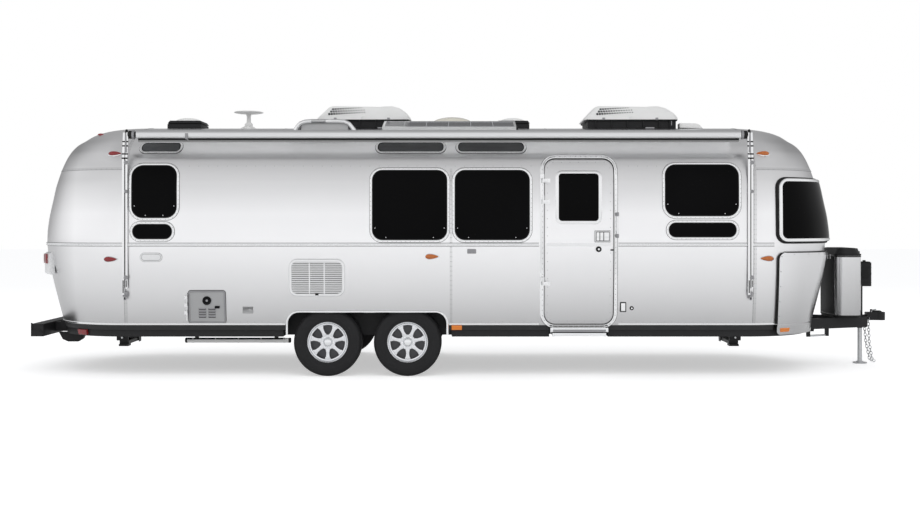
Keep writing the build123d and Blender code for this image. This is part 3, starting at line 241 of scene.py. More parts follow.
def add_mesh(name, bm, finish):
    """Turn a bmesh into a smooth-shaded object with a finish."""
    mesh = bpy.data.meshes.new(name)
    bm.to_mesh(mesh)
    bm.free()
    mesh.shade_smooth()
    mesh.materials.append(finish.material)
    return add_object(name, mesh)


def piece(name, bm, finish, body="trailer", replaces=(), slot=None, crease=35):
    """Finish a bmesh as a visible piece that rides on a body."""
    bmesh.ops.remove_doubles(bm, verts=bm.verts, dist=1e-6)
    bmesh.ops.recalc_face_normals(bm, faces=bm.faces)
    made = add_mesh(name, bm, finish)
    made.data.set_sharp_from_angle(angle=math.radians(crease))
    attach(made, body)
    if replaces:
        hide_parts(*replaces)
    slot or finish.slot
    return made


chassis_paint = painted(
    "chassis_paint", (0.016, 0.016, 0.017), 0.42, slot="black_frame", grain_scale=260, grain=0.0008,
    Specular_IOR_Level=0.22)
cad_finish(
    chassis_paint, "frame_rails", "a_frame", "bumper", "axles", "stabiliser_channels", "under_gear",
    "coupler")
for corner in ("front_left", "front_right", "rear_left", "rear_right"):
    cad_finish(chassis_paint, f"stabiliser_{corner}")
skirt_plastic = painted(
    "skirt_plastic", (0.018, 0.018, 0.019), 0.5, grain_scale=420, Specular_IOR_Level=0.25)
cad_finish(skirt_plastic, "belly_pan", "gas_lid")
floor_board = painted("floor_board", (0.42, 0.32, 0.22), 0.5, stretch=(0.12, 1, 1), scale=14)
cad_finish(floor_board, "floor_deck")

# ---------------- wheels
# Radial trailer tyres on seven-spoke cast alloy rims, held by six chromed nuts and
# a domed centre cap; the tread has ribs and cross sipes.
WHEEL_X = {"front": -0.672, "rear": -1.518}
WHEEL_Z = 0.36
TYRE_MIDDLE = 1.1015
SIDES = {"right": -1, "left": 1}

rubber = painted(
    "tyre_rubber", (0.016, 0.016, 0.017), 0.62, slot="tyre", mottle=0.2, scale=30, grain_scale=700,
    grain=0.0006, Specular_IOR_Level=0.25)
alloy = painted(
    "cast_alloy", (0.74, 0.75, 0.77), 0.24, 1.0, slot="alloy", mottle=0.05, grain_scale=1200, grain=0.0002)
alloy_shadow = painted("alloy_pocket_shade", (0.085, 0.085, 0.09), 0.45, 0.6, slot="alloy")
chrome = painted("chrome", (0.83, 0.84, 0.85), 0.10, 1.0, slot="bright_trim", mottle=0.02, grain=0)


def tyre_mesh(place, out):
    """Carcass, sidewall ribs and a tread of grooved blocks; out points outboard."""
    bm = bmesh.new()
    carcass = [
        (0.208, -0.078), (0.217, -0.080), (0.219, -0.094), (0.232, -0.103), (0.262, -0.110),
        (0.292, -0.1125), (0.318, -0.110), (0.336, -0.104), (0.347, -0.095), (0.3525, -0.084),
        (0.3545, -0.060), (0.355, 0.0), (0.3545, 0.060), (0.3525, 0.084), (0.347, 0.095), (0.336, 0.104),
        (0.318, 0.110), (0.292, 0.1125), (0.262, 0.110), (0.232, 0.103), (0.219, 0.094), (0.217, 0.080),
        (0.208, 0.078)]
    lathe(bm, carcass, (0, 0, 0), (0, out, 0), 72)
    for radius, across in ((0.300, 0.1118), (0.272, 0.1110), (0.243, 0.1065)):
        for side in (-1, 1):
            low, high = side * across, side * (across + 0.0014)
            lathe(
                bm, [(radius - 0.002, low), (radius, high), (radius + 0.002, low)], (0, 0, 0), (0, out, 0),
                72)
    for low, high in ((-0.088, -0.058), (-0.050, -0.021), (-0.013, 0.013), (0.021, 0.050), (0.058, 0.088)):
        edge, crown = (0.3535, 0.3575) if abs(low + high) > 0.12 else (0.354, 0.360)
        rib = [(edge, low), (crown - 0.001, low), (crown, low + 0.002), (crown, high - 0.002),
               (crown - 0.001, high), (edge, high)]
        lathe(bm, rib, (0, 0, 0), (0, out, 0), 72)
    bmesh.ops.translate(bm, verts=bm.verts, vec=place)
    return bm


LUGS = 56                  # shoulder blocks round each edge of the tread


def lug_mesh(place):
    """Shoulder blocks that stand between the cross grooves of the tread."""
    bm = bmesh.new()
    for step in range(LUGS):
        turn = Matrix.Rotation(2 * math.pi * step / LUGS, 4, "Y")
        for side in (-1, 1):
            lift = Matrix.Translation((0, side * 0.0925, 0.3475)) @ Matrix.Rotation(side * -0.72, 4, "X")
            verts = slab(bm, -0.0125, 0.0125, -0.011, 0.011, -0.004, 0.0035)
            bmesh.ops.transform(bm, matrix=turn @ lift, verts=verts)
    bmesh.ops.translate(bm, verts=bm.verts, vec=place)
    return bm


SPOKES = 7


def rim_mesh(place, out):
    """Barrel with a raised lip, seven tapered spokes and a hub with its nuts."""
    bm = bmesh.new()
    barrel = [
        (0.2145, -0.091), (0.2145, -0.086), (0.2065, -0.080), (0.2065, 0.080), (0.2145, 0.086),
        (0.2145, 0.091), (0.2105, 0.093), (0.203, 0.088), (0.1985, 0.078), (0.196, 0.055), (0.190, 0.030),
        (0.190, -0.080), (0.200, -0.088), (0.2105, -0.093)]
    lathe(bm, barrel, (0, 0, 0), (0, out, 0), 84)
    band = [(0.196, 0.074), (0.199, 0.079), (0.196, 0.082), (0.183, 0.080), (0.178, 0.072), (0.182, 0.062),
            (0.195, 0.060)]
    lathe(bm, band, (0, 0, 0), (0, out, 0), 84)
    hub = [(0.0, 0.040), (0.076, 0.040), (0.082, 0.050), (0.080, 0.066), (0.070, 0.071), (0.052, 0.069),
           (0.046, 0.064), (0.0, 0.064)]
    lathe(bm, hub, (0, 0, 0), (0, out, 0), 56)
    for spoke in range(SPOKES):
        turn = Matrix.Rotation(2 * math.pi * (spoke + 0.5) / SPOKES, 4, "Y")
        before = set(bm.verts)
        outline = [(-0.026, 0.068), (-0.017, 0.110), (-0.020, 0.150), (-0.038, 0.186), (0.038, 0.186),
                   (0.020, 0.150), (0.017, 0.110), (0.026, 0.068)]
        plate(bm, [(x, out * 0.048, z) for x, z in outline], (0, out * 0.026, 0))
        made = [vert for vert in bm.verts if vert not in before]
        soft_edges(bm, list({edge for vert in made for edge in vert.link_edges}), 0.005)
        made = [vert for vert in bm.verts if vert not in before]
        bmesh.ops.transform(bm, matrix=turn, verts=made)
    bmesh.ops.translate(bm, verts=bm.verts, vec=place)
    return bm


def nut_mesh(place, out):
    """Domed centre cap and six nuts round it."""
    bm = bmesh.new()
    cap = [
        (0.0, 0.060), (0.043, 0.060), (0.044, 0.072), (0.040, 0.080), (0.032, 0.087), (0.018, 0.0905),
        (0.0, 0.0915)]
    lathe(bm, cap, (0, 0, 0), (0, out, 0), 40)
    for nut in range(6):
        angle = 2 * math.pi * (nut + 0.5) / 6
        centre = Vector((0.059 * math.sin(angle), 0, 0.059 * math.cos(angle)))
        bar(
            bm, centre + Vector((0, out * 0.062, 0)), centre + Vector((0, out * 0.080, 0)), 0.0098, 0.0085,
            6)
    bmesh.ops.translate(bm, verts=bm.verts, vec=place)
    return bm


for axle_name, wheel_x in WHEEL_X.items():
    for side_name, side in SIDES.items():
        corner = f"{axle_name}_{side_name}"
        middle = Vector((wheel_x, side * TYRE_MIDDLE, WHEEL_Z))
        body = f"wheel_{corner}"
        piece(f"tyre_cover_{corner}", tyre_mesh(middle, side), rubber, body, [f"tyre_{corner}"], "tyre", 30)
        piece(f"tyre_lugs_{corner}", lug_mesh(middle), rubber, body, slot="tyre")
        piece(f"rim_cast_{corner}", rim_mesh(middle, side), alloy, body, [f"rim_{corner}"], "alloy")
        piece(f"wheel_nuts_{corner}", nut_mesh(middle, side), chrome, body, slot="alloy")
        # dark disc behind the spokes: painted shade in the pockets between them
        bm = bmesh.new()
        lathe(bm, oblong(0.0, 0.188, 0.012, 0.022), middle, (0, side, 0), 40)
        piece(f"rim_back_shade_{corner}", bm, alloy_shadow, body)

# ---------------- body skin
# Polished aluminium sheets riveted over bent ribs: two domed end caps, a roof and flat
# sides with round shoulders, lined inside; the door, hatch and windows are cut in it.
HALF_WIDTH = 1.280         # widest, at the belt rail
BELT = 1.394
SKIRT = 0.544              # lower edge of the skin
LOWER_HEIGHT = BELT - SKIRT
LOWER_TUCK = 0.060
SHOULDER = 0.550
SHOULDER_CENTRE = 2.015
SHOULDER_GIRTH = SHOULDER_CENTRE - SKIRT
SHOULDER_SWEEP = math.radians(68)
CROWN_GIRTH = SHOULDER_GIRTH + SHOULDER * SHOULDER_SWEEP
CROWN = SHOULDER + (HALF_WIDTH - SHOULDER) / math.sin(math.radians(22))
CROWN_CENTRE = SHOULDER_CENTRE - (CROWN - SHOULDER) * math.cos(math.radians(22))
RIDGE_GIRTH = CROWN_GIRTH + CROWN * math.radians(22)
REAR_END, FRONT_END = -4.760, 4.000
END_ARC = math.radians(15)
CORNER_SHARE = 0.70
REAR_SEAM, FRONT_SEAM, SIDE_SEAM, ROOF_SEAM = -3.636, 2.984, -0.212, 2.213
WALL = 0.050
# distance round the section from the skirt, how far the ends are drawn in there
RECESS = [
    (0, 0.178), (0.255, 0.114), (0.5525, 0.0445), (0.85, 0.0), (1.1108, 0.022), (1.3158, 0.066),
    (1.471, 0.100), (1.5862, 0.134), (1.7014, 0.172), (1.8166, 0.215), (1.9222, 0.262), (2.0278, 0.320),
    (2.1237, 0.385), (2.320, 0.470), (2.516, 0.590), (2.712, 0.760), (2.909, 1.0), (RIDGE_GIRTH, 1.33)]


def recess_at(girth):
    """Smooth curve through the recess table."""
    last = len(RECESS) - 2
    cell = next((i for i in range(last + 1) if girth <= RECESS[i + 1][0]), last)
    (g0, r0), (g1, r1) = RECESS[cell], RECESS[cell + 1]
    gb, rb = RECESS[max(cell - 1, 0)]
    ga, ra = RECESS[min(cell + 2, last + 1)]
    span = g1 - g0
    t = (girth - g0) / span
    rise0 = (r1 - rb) / (g1 - gb) * span
    rise1 = (ra - r0) / (ga - g0) * span
    return (r0 * (2 * t ** 3 - 3 * t ** 2 + 1) + rise0 * (t ** 3 - 2 * t ** 2 + t)
            + r1 * (3 * t ** 2 - 2 * t ** 3) + rise1 * (t ** 3 - t ** 2))


def girth_at(height):
    """Distance round the section from the skirt up to a height."""
    if height <= SHOULDER_CENTRE:
        return height - SKIRT
    angle = math.asin(min(1, (height - SHOULDER_CENTRE) / SHOULDER))
    if angle <= SHOULDER_SWEEP:
        return SHOULDER_GIRTH + SHOULDER * angle
    return RIDGE_GIRTH - CROWN * math.acos(min(1, (height - CROWN_CENTRE) / CROWN))


def section(girth):
    """Half-width and height of the side at a distance round the section."""
    if girth <= LOWER_HEIGHT:
        return HALF_WIDTH - LOWER_TUCK * (1 - girth / LOWER_HEIGHT) ** 2, SKIRT + girth
    if girth <= SHOULDER_GIRTH:
        return HALF_WIDTH, SKIRT + girth
    if girth <= CROWN_GIRTH:
        angle = (girth - SHOULDER_GIRTH) / SHOULDER
        return HALF_WIDTH - SHOULDER * (1 - math.cos(angle)), SHOULDER_CENTRE + SHOULDER * math.sin(angle)
    angle = (RIDGE_GIRTH - girth) / CROWN
    return CROWN * math.sin(angle), CROWN_CENTRE + CROWN * math.cos(angle)


def plan_of(girth):
    """Corner radius, end radius and the arc centres of the plan outline at a girth."""
    half, height = section(girth)
    recess = recess_at(girth)
    corner = CORNER_SHARE * half
    end = corner + (half - corner) / math.sin(END_ARC)
    pull = (end - corner) * math.cos(END_ARC)
    rear = REAR_END + recess + end
    front = FRONT_END - recess - end
    return half, height, corner, end, rear, front, rear - pull, front + pull


def skin_spot(round_way, girth):
    """Right-hand skin point; round_way runs 0 rear middle, 1, 2 side, 3 side, 4, 5 front middle."""
    half, height, corner, end, rear, front, rear_x, front_x = plan_of(girth)
    if round_way <= 1:
        angle = END_ARC * round_way
        x, y = rear - end * math.cos(angle), end * math.sin(angle)
    elif round_way <= 2:
        angle = END_ARC + (math.pi / 2 - END_ARC) * (round_way - 1)
        x, y = rear_x - corner * math.cos(angle), half - corner + corner * math.sin(angle)
    elif round_way <= 3:
        x, y = rear_x + (front_x - rear_x) * (round_way - 2), half
    elif round_way <= 4:
        angle = END_ARC + (math.pi / 2 - END_ARC) * (4 - round_way)
        x, y = front_x + corner * math.cos(angle), half - corner + corner * math.sin(angle)
    else:
        angle = END_ARC * (5 - round_way)
        x, y = front + end * math.cos(angle), end * math.sin(angle)
    return Vector((x, -y, height))


def skin_out(round_way, girth):
    """Outward direction of the right-hand skin."""
    step = 0.004
    low, high = max(girth - step, 0), min(girth + step, RIDGE_GIRTH - 0.01)
    back, fore = max(round_way - step, 0), min(round_way + step, 5)
    up = skin_spot(round_way, high) - skin_spot(round_way, min(low, high - step))
    along = skin_spot(
        fore, min(girth, RIDGE_GIRTH - 0.01)) - skin_spot(back, min(girth, RIDGE_GIRTH - 0.01))
    return along.cross(up).normalized()


def way_of_x(x, girth):
    """round_way of the skin point at a given X."""
    _, _, corner, end, rear, front, rear_x, front_x = plan_of(girth)
    turn = math.pi / 2 - END_ARC
    if x < rear_x:
        if rear_x - x < corner * math.cos(END_ARC):
            return 1 + (math.acos(min(1, (rear_x - x) / corner)) - END_ARC) / turn
        return math.acos(min(1, (rear - x) / end)) / END_ARC
    if x <= front_x:
        return 2 + (x - rear_x) / (front_x - rear_x)
    if x - front_x < corner * math.cos(END_ARC):
        return 4 - (math.acos((x - front_x) / corner) - END_ARC) / turn
    return 5 - math.acos(min(1, (x - front) / end)) / END_ARC


def way_of_y(y, girth, front=True):
    """round_way of the skin point at a given distance from the middle, at one end."""
    half, _, corner, end, *_ = plan_of(girth)
    if y <= end * math.sin(END_ARC):
        way = math.asin(y / end) / END_ARC
    else:
        way = 1 + (math.asin(min(1, (y - half + corner) / corner)) - END_ARC) / (math.pi / 2 - END_ARC)
    return 5 - way if front else way


def on_skin(way, girth, proud=0.0, side=-1):
    """Point a little proud of the skin, and the outward direction, on either side."""
    out = skin_out(way, girth)
    point = skin_spot(way, girth) + out * proud
    if side == 1:
        point.y, out.y = -point.y, -out.y
    return point, out


def on_side(x, height, proud=0.0, side=-1):
    """Point on the straight part of the side wall, and the outward direction there."""
    girth = girth_at(height)
    return on_skin(way_of_x(x, girth), girth, proud, side)


def mapped_grid(bm, columns, rows, place, merge=1e-6):
    """Grid whose corner (i, j) is moved to place(i, j); corners that meet become one."""
    made = bmesh.ops.create_grid(bm, x_segments=columns, y_segments=rows, size=0.5)
    for vert in made["verts"]:
        i = round((vert.co.x + 0.5) * columns)
        j = round((vert.co.y + 0.5) * rows)
        vert.co = place(i, j)
    if merge:
        bmesh.ops.remove_doubles(bm, verts=made["verts"], dist=merge)


def fill_ends(bm, before):
    """Close the open ends of what was built since the edges in before."""
    loose = [edge for edge in bm.edges if edge not in before and edge.is_boundary]
    if loose:
        bmesh.ops.holes_fill(bm, edges=loose, sides=0)


def sweep(bm, stations, profile):
    """Closed profile of (across, out) pairs carried along stations of (point, across, out)."""
    count = len(profile)

    def place(i, j):
        point, across, out = stations[i]
        shift, proud = profile[j % count]
        return point + across * shift + out * proud

    before = set(bm.edges)
    mapped_grid(bm, len(stations) - 1, count, place)
    fill_ends(bm, before)


def ring(x0, x1, z0, z1, radius, per_corner=7, spacing=0.12):
    """Round-cornered rectangle as (x, z, across x, across z) rows, closed."""
    rows = []
    corners = [(x1 - radius, z0 + radius, -90), (x1 - radius, z1 - radius, 0),
               (x0 + radius, z1 - radius, 90), (x0 + radius, z0 + radius, 180)]
    for cx, cz, start in corners:
        for step in range(per_corner + 1):
            angle = math.radians(start + 90 * step / per_corner)
            rows.append((cx + radius * math.cos(angle), cz + radius * math.sin(angle),
                         math.cos(angle), math.sin(angle)))
    rows.append(rows[0])
    full = []
    for (ax, az, bx, bz), (cx, cz, dx, dz) in zip(rows, rows[1:]):
        parts = max(1, math.ceil(math.hypot(cx - ax, cz - az) / spacing))
        for part in range(parts):
            t = part / parts
            full.append((ax + (cx - ax) * t, az + (cz - az) * t, bx + (dx - bx) * t, bz + (dz - bz) * t))
    full.append(full[0])
    return full


def edge_stations(rows, spot):
    """Sweep stations through the rows of a ring, each laid on the skin by spot(across, up)."""
    stations = []
    for u, v, across_u, across_v in rows:
        point, out = spot(u, v)
        ahead = spot(u + across_u * 0.001, v + across_v * 0.001)[0]
        stations.append((point, (ahead - point).normalized(), out))
    return stations


def side_ring(corners, side):
    """Sweep stations round a window or door on a side wall."""
    return edge_stations(ring(*corners), lambda x, z: on_side(x, z, 0, side))


def cut_hole(bm, x0, x1, z0, z1, radius, side, per_corner=7):
    """Cut a round-cornered rectangle out of one side wall."""
    rows = ring(x0, x1, z0, z1, radius, per_corner, 10)
    limits = []
    for (ax, az, *_), (cx, cz, *_) in zip(rows, rows[1:]):
        if math.hypot(cx - ax, cz - az) < 1e-5:
            continue
        normal = Vector((cz - az, 0, ax - cx)).normalized()
        limits.append((Vector((ax, 0, az)), normal))
        low_x, high_x = min(ax, cx), max(ax, cx)
        low_z, high_z = min(az, cz), max(az, cz)
        near = []
        for face in bm.faces:
            xs = [vert.co.x for vert in face.verts]
            zs = [vert.co.z for vert in face.verts]
            if (face.verts[0].co.y * side > 0.1 and max(xs) >= low_x and min(xs) <= high_x
                    and max(zs) >= low_z and min(zs) <= high_z):
                near.append(face)
        geom = near + list({e for f in near for e in f.edges}) + list({v for f in near for v in f.verts})
        bmesh.ops.bisect_plane(bm, geom=geom, dist=1e-6, plane_co=(ax, 0, az), plane_no=normal)
    inside = []
    for face in bm.faces:
        middle = face.calc_center_median()
        if middle.y * side > 0.1 and all((middle - at).dot(normal) < 1e-6 for at, normal in limits):
            inside.append(face)
    bmesh.ops.delete(bm, geom=inside, context="FACES")


def spaced(low, high, cells):
    """Even steps between two values."""
    return [low + (high - low) * step / cells for step in range(cells + 1)]


WAYS = (spaced(0, 1, 9)[:-1] + spaced(1, 2, 18)[:-1] + spaced(2, 3, 74)[:-1] + spaced(3, 4, 18)[:-1]
        + spaced(4, 5, 9))
GIRTHS = (
    spaced(0, LOWER_HEIGHT, 8)[:-1] + spaced(LOWER_HEIGHT, SHOULDER_GIRTH, 7)[:-1] + spaced(SHOULDER_GIRTH,
    CROWN_GIRTH, 18)[:-1] + spaced(CROWN_GIRTH, RIDGE_GIRTH, 16))
SIDE_OPENINGS = [
    (-3.573, -3.087, 1.670, 2.233, 0.120), (-3.563, -3.137, 1.448, 1.615, 0.080),
    (-1.046, -0.248, 1.438, 2.182, 0.110), (-0.178, 0.619, 1.438, 2.182, 0.110),
    (2.029, 2.815, 1.689, 2.241, 0.120), (2.069, 2.790, 1.467, 1.630, 0.078),
    (-3.509, -3.091, 2.374, 2.479, 0.050), (-0.998, -0.289, 2.374, 2.483, 0.050),
    (-0.142, 0.567, 2.374, 2.483, 0.050)]
ARCH = (-1.936, -0.259, 0.20, 0.680, 0.120)
DOOR_GAP = 0.006
DOOR = (0.771, 1.493, 0.558, 2.292, 0.110)
HATCH = (-2.977, -2.585, 0.566, 0.911, 0.030)


def grown(corners, grow):
    """Round-cornered rectangle grown all round."""
    x0, x1, z0, z1, radius = corners
    return (x0 - grow, x1 + grow, z0 - grow, z1 + grow, radius + grow)


def skin_shell(sides):
    """Outer skin of the body on the given sides, with room to store its outward directions."""
    bm = bmesh.new()
    bm.verts.layers.float_vector.new("outward")
    for side in sides:
        mapped_grid(
            bm, len(WAYS) - 1, len(GIRTHS) - 1, lambda i, j: on_skin(WAYS[i], GIRTHS[j], 0, side)[0])
    bmesh.ops.remove_doubles(bm, verts=bm.verts, dist=1e-5)
    return bm


def trim_shell(bm, planes):
    """Keep the part of the shell on the inner side of every plane."""
    for at, outward in planes:
        geom = list(bm.verts) + list(bm.edges) + list(bm.faces)
        bmesh.ops.bisect_plane(bm, geom=geom, dist=1e-6, plane_co=at, plane_no=outward, clear_outer=True)


NEAR_MIDDLE, NEAR_END = 0.30, 3.0      # distance from the middle line, and X where the ends begin


def outward_at(point):
    """Outward direction of the skin at a point on it."""
    girth = girth_at(min(point.z, CROWN_CENTRE + CROWN - 1e-5))
    if abs(point.y) <= NEAR_MIDDLE and abs(point.x) >= NEAR_END:
        way = way_of_y(abs(point.y), girth, point.x > 0)
    else:
        way = way_of_x(point.x, girth)
    out = skin_out(way, girth)
    return Vector((out.x, out.y if point.y < 0 else -out.y, out.z))


def finish_shell(name, bm, finish, replaces):
    """Give the trimmed skin its wall and its smooth outward shading, and file it as a piece."""
    store = bm.verts.layers.float_vector["outward"]
    for vert in bm.verts:
        vert[store] = outward_at(vert.co)
    bmesh.ops.recalc_face_normals(bm, faces=bm.faces)
    flipped = sum(1 if face.normal.dot(face.verts[0][store]) < 0 else -1 for face in bm.faces)
    if flipped > 0:
        bmesh.ops.reverse_faces(bm, faces=bm.faces)
    outer = list(bm.faces)
    bmesh.ops.solidify(bm, geom=outer, thickness=WALL)
    corners = []
    for face in bm.faces:
        for loop in face.loops:
            out = loop.vert[store]
            along = face.normal.dot(out)
            corners.append(out if along > 0.8 else -out if along < -0.8 else face.normal.copy())
    made = add_mesh(name, bm, finish)
    made.data.normals_split_custom_set(corners)
    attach(made, "trailer")
    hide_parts(*replaces)


# painted reflection and shade in the skin's base colour: height, then place along the body or height again,
# each with its share of the sheet's brightness
SKIN_PAINTED_REFLECTION = [
    (0.50, 0.50), (0.70, 0.61), (0.95, 0.74), (1.25, 0.89), (1.45, 0.96), (1.72, 0.93), (1.90, 0.80),
    (2.08, 0.67), (2.24, 0.74), (2.36, 0.95), (2.60, 0.92), (2.90, 0.86)]
END_PAINTED_SHADE = [(-4.75, 0.60), (-4.45, 0.74), (-4.20, 1.0), (3.15, 1.0), (3.50, 0.84), (4.45, 0.84)]
PAINTED_SHOULDER_ENDS = [(-4.60, 1.0), (-4.25, 1.0), (-3.85, 0.0), (3.05, 0.0), (3.40, 0.8), (3.80, 0.8)]
PAINTED_SHOULDER_SHADE = [(2.18, 1.0), (2.40, 0.44), (2.52, 0.58), (2.66, 1.0)]
SHADE_TOP = 3.0
LENGTH_FIRST, LENGTH_SPAN = -4.8, 9.6


def skin_finish(name, rough, tone=1.0):
    """Clear-coated aluminium sheet with painted reflection and shade in its base colour, brightest along
    the belt.
    """
    finish = Finish(name, (0.8, 0.8, 0.8), rough, 1.0, "polished_skin")
    up = finish.axis(2) * (1 / SHADE_TOP)
    along = (finish.axis(0) - LENGTH_FIRST) * (1 / LENGTH_SPAN)

    def by_height(shades, blue=1.0):
        return finish.ramp(up, [(z / SHADE_TOP, (shade, shade, shade * blue)) for z, shade in shades])

    def by_length(shades):
        return finish.ramp(along, [((x - LENGTH_FIRST) / LENGTH_SPAN, shade) for x, shade in shades])

    # painted reflection and shade: lightest along the belt, darker at the skirt, above the windows, at the
    # ends and round the ends' shoulders
    bands = finish.times(by_height(SKIN_PAINTED_REFLECTION, 1.005), by_length(END_PAINTED_SHADE))
    bands = finish.times(bands, by_height(PAINTED_SHOULDER_SHADE), by_length(PAINTED_SHOULDER_ENDS))
    low = (0.955 * tone, 0.955 * tone, 0.96 * tone)
    worn = finish.blend(finish.noise(2.3, 4, (0.5, 1, 1)), low, (tone, tone, tone))
    finish.feed("Base Color", finish.times(bands, worn))
    finish.feed("Roughness", finish.noise(14, 4, (0.3, 1, 1)) * 0.03 + (rough - 0.015))
    finish.bump(finish.noise(0.9, 2, (1, 1, 0.7)), 0.10, 0.006)
    return finish


skin_metal = skin_finish("polished_aluminium", 0.30)
# points and outward directions of the planes that trim the panels
AHEAD_OF_REAR, BEHIND_FRONT = ((REAR_SEAM, 0, 0), (-1, 0, 0)), ((FRONT_SEAM, 0, 0), (1, 0, 0))
ABOVE_SEAM, BELOW_SEAM = ((0, 0, ROOF_SEAM), (0, 0, -1)), ((0, 0, ROOF_SEAM), (0, 0, 1))
SHELL_PANELS = [
    ("cap_rear", (1, -1), [((REAR_SEAM, 0, 0), (1, 0, 0))]), ("cap_front", (1, -1),
    [((FRONT_SEAM, 0, 0), (-1, 0, 0))]), ("roof", (1, -1), [AHEAD_OF_REAR, BEHIND_FRONT, ABOVE_SEAM]),
    ("side_left", (1,), [AHEAD_OF_REAR, BEHIND_FRONT, BELOW_SEAM]), ("side_right_rear", (-1,),
    [AHEAD_OF_REAR, ((SIDE_SEAM, 0, 0), (1, 0, 0)), BELOW_SEAM]), ("side_right_front", (-1,),
    [((SIDE_SEAM, 0, 0), (-1, 0, 0)), BEHIND_FRONT, BELOW_SEAM])]
for name, sides, planes in SHELL_PANELS:
    bm = skin_shell(sides)
    trim_shell(bm, planes)
    low = min(vert.co.z for vert in bm.verts)
    high = max(vert.co.z for vert in bm.verts)
    rear = min(vert.co.x for vert in bm.verts)
    front = max(vert.co.x for vert in bm.verts)
    for side in sides:
        right_holes = [grown(DOOR, DOOR_GAP), grown(HATCH, DOOR_GAP)] if side == -1 else []
        for x0, x1, z0, z1, radius in SIDE_OPENINGS + [ARCH] + right_holes:
            if name.startswith("cap") or x1 < rear or x0 > front or z1 < low or z0 > high:
                continue
            cut_hole(bm, x0, x1, z0, z1, radius, side)
    finish_shell(f"{name}_skin", bm, skin_metal, [name])

# ---------------- seams, rivets and rails
# Lap strips cover the joints of the sheets, buck rivets run along both edges; an extruded
# belt rail goes round at the widest point and a rub strip along the lower edge.
bright = painted(
    "bright_trim", (0.84, 0.845, 0.85), 0.18, 1.0, slot="bright_trim", mottle=0.03, grain_scale=600,
    grain=0.0002)
rivet_metal = painted(
    "rivet_heads", (0.44, 0.445, 0.45), 0.38, 1.0, slot="bright_trim", mottle=0.06, grain=0)
# thin dark lines along the edges of the seam strips, the belt rail and the badge: painted shadow lines
shadow_line_grey = painted("painted_shadow_grey", (0.16, 0.16, 0.165), 0.6, slot="black_plastic", grain_scale=500)


UP, FORWARD, OUT_RIGHT = Vector((0, 0, 1)), Vector((1, 0, 0)), Vector((0, -1, 0))
RIVET_RADIUS, RIVET_DEPTH = 0.0050, 0.0024


def rivet(bm, point, out):
    """Low domed rivet head standing on the skin."""
    turn = out.to_track_quat("Z", "Y").to_matrix().to_4x4()
    place = Matrix.Translation(point + out * (RIVET_DEPTH / 3)) @ turn
    bmesh.ops.create_cone(
        bm, cap_ends=True, segments=6, radius1=RIVET_RADIUS, radius2=RIVET_RADIUS * 0.45, depth=RIVET_DEPTH,
        matrix=place)


def strip(width, height):
    """Profile of a flat strip with eased edges, its back sunk below the surface."""
    half, sunk = width / 2, -0.004
    return [(-half, sunk), (half, sunk), (half, height * 0.5), (half - height * 0.7, height),
            (height * 0.7 - half, height), (-half, height * 0.5)]


def girth_stations(x, side, low, high, steps):
    """Stations up the side wall and over the shoulder at one X."""
    rows = []
    for girth in spaced(low, high, steps):
        point, out = on_skin(way_of_x(x, girth), girth, 0, side)
        rows.append((point, FORWARD, out))
    return rows


def level_stations(height, side, first, last, steps):
    """Stations along the skin at one height, between two places on the way round."""
    girth = girth_at(height)
    rows = []
    for way in spaced(first, last, steps):
        point, out = on_skin(way, girth, 0, side)
        ahead = on_skin(
            min(way + 0.01, 5), girth, 0, side)[0] - on_skin(max(way - 0.01, 0), girth, 0, side)[0]
        rows.append((point, out.cross(ahead).normalized(), out))
    return rows


def level_run(height, side, rear, front, steps):
    """Stations at one height between two X places; None runs on to the middle of that end."""
    girth = girth_at(height)
    first = 0 if rear is None else way_of_x(rear, girth)
    last = 5 if front is None else way_of_x(front, girth)
    return level_stations(height, side, first, last, steps)


def riveted(bm, stations, offsets, pitch):
    """Rivets at an even pitch along stations, at sideways offsets."""
    travelled = 0.0
    due = pitch / 2
    for (p0, a0, o0), (p1, a1, o1) in zip(stations, stations[1:]):
        length = (p1 - p0).length
        while length > 0 and travelled + length >= due:
            t = (due - travelled) / length
            for offset, lift in offsets:
                out = o0.lerp(o1, t).normalized()
                rivet(bm, p0.lerp(p1, t) + a0.lerp(a1, t) * offset + out * lift, out)
            due += pitch
        travelled += length


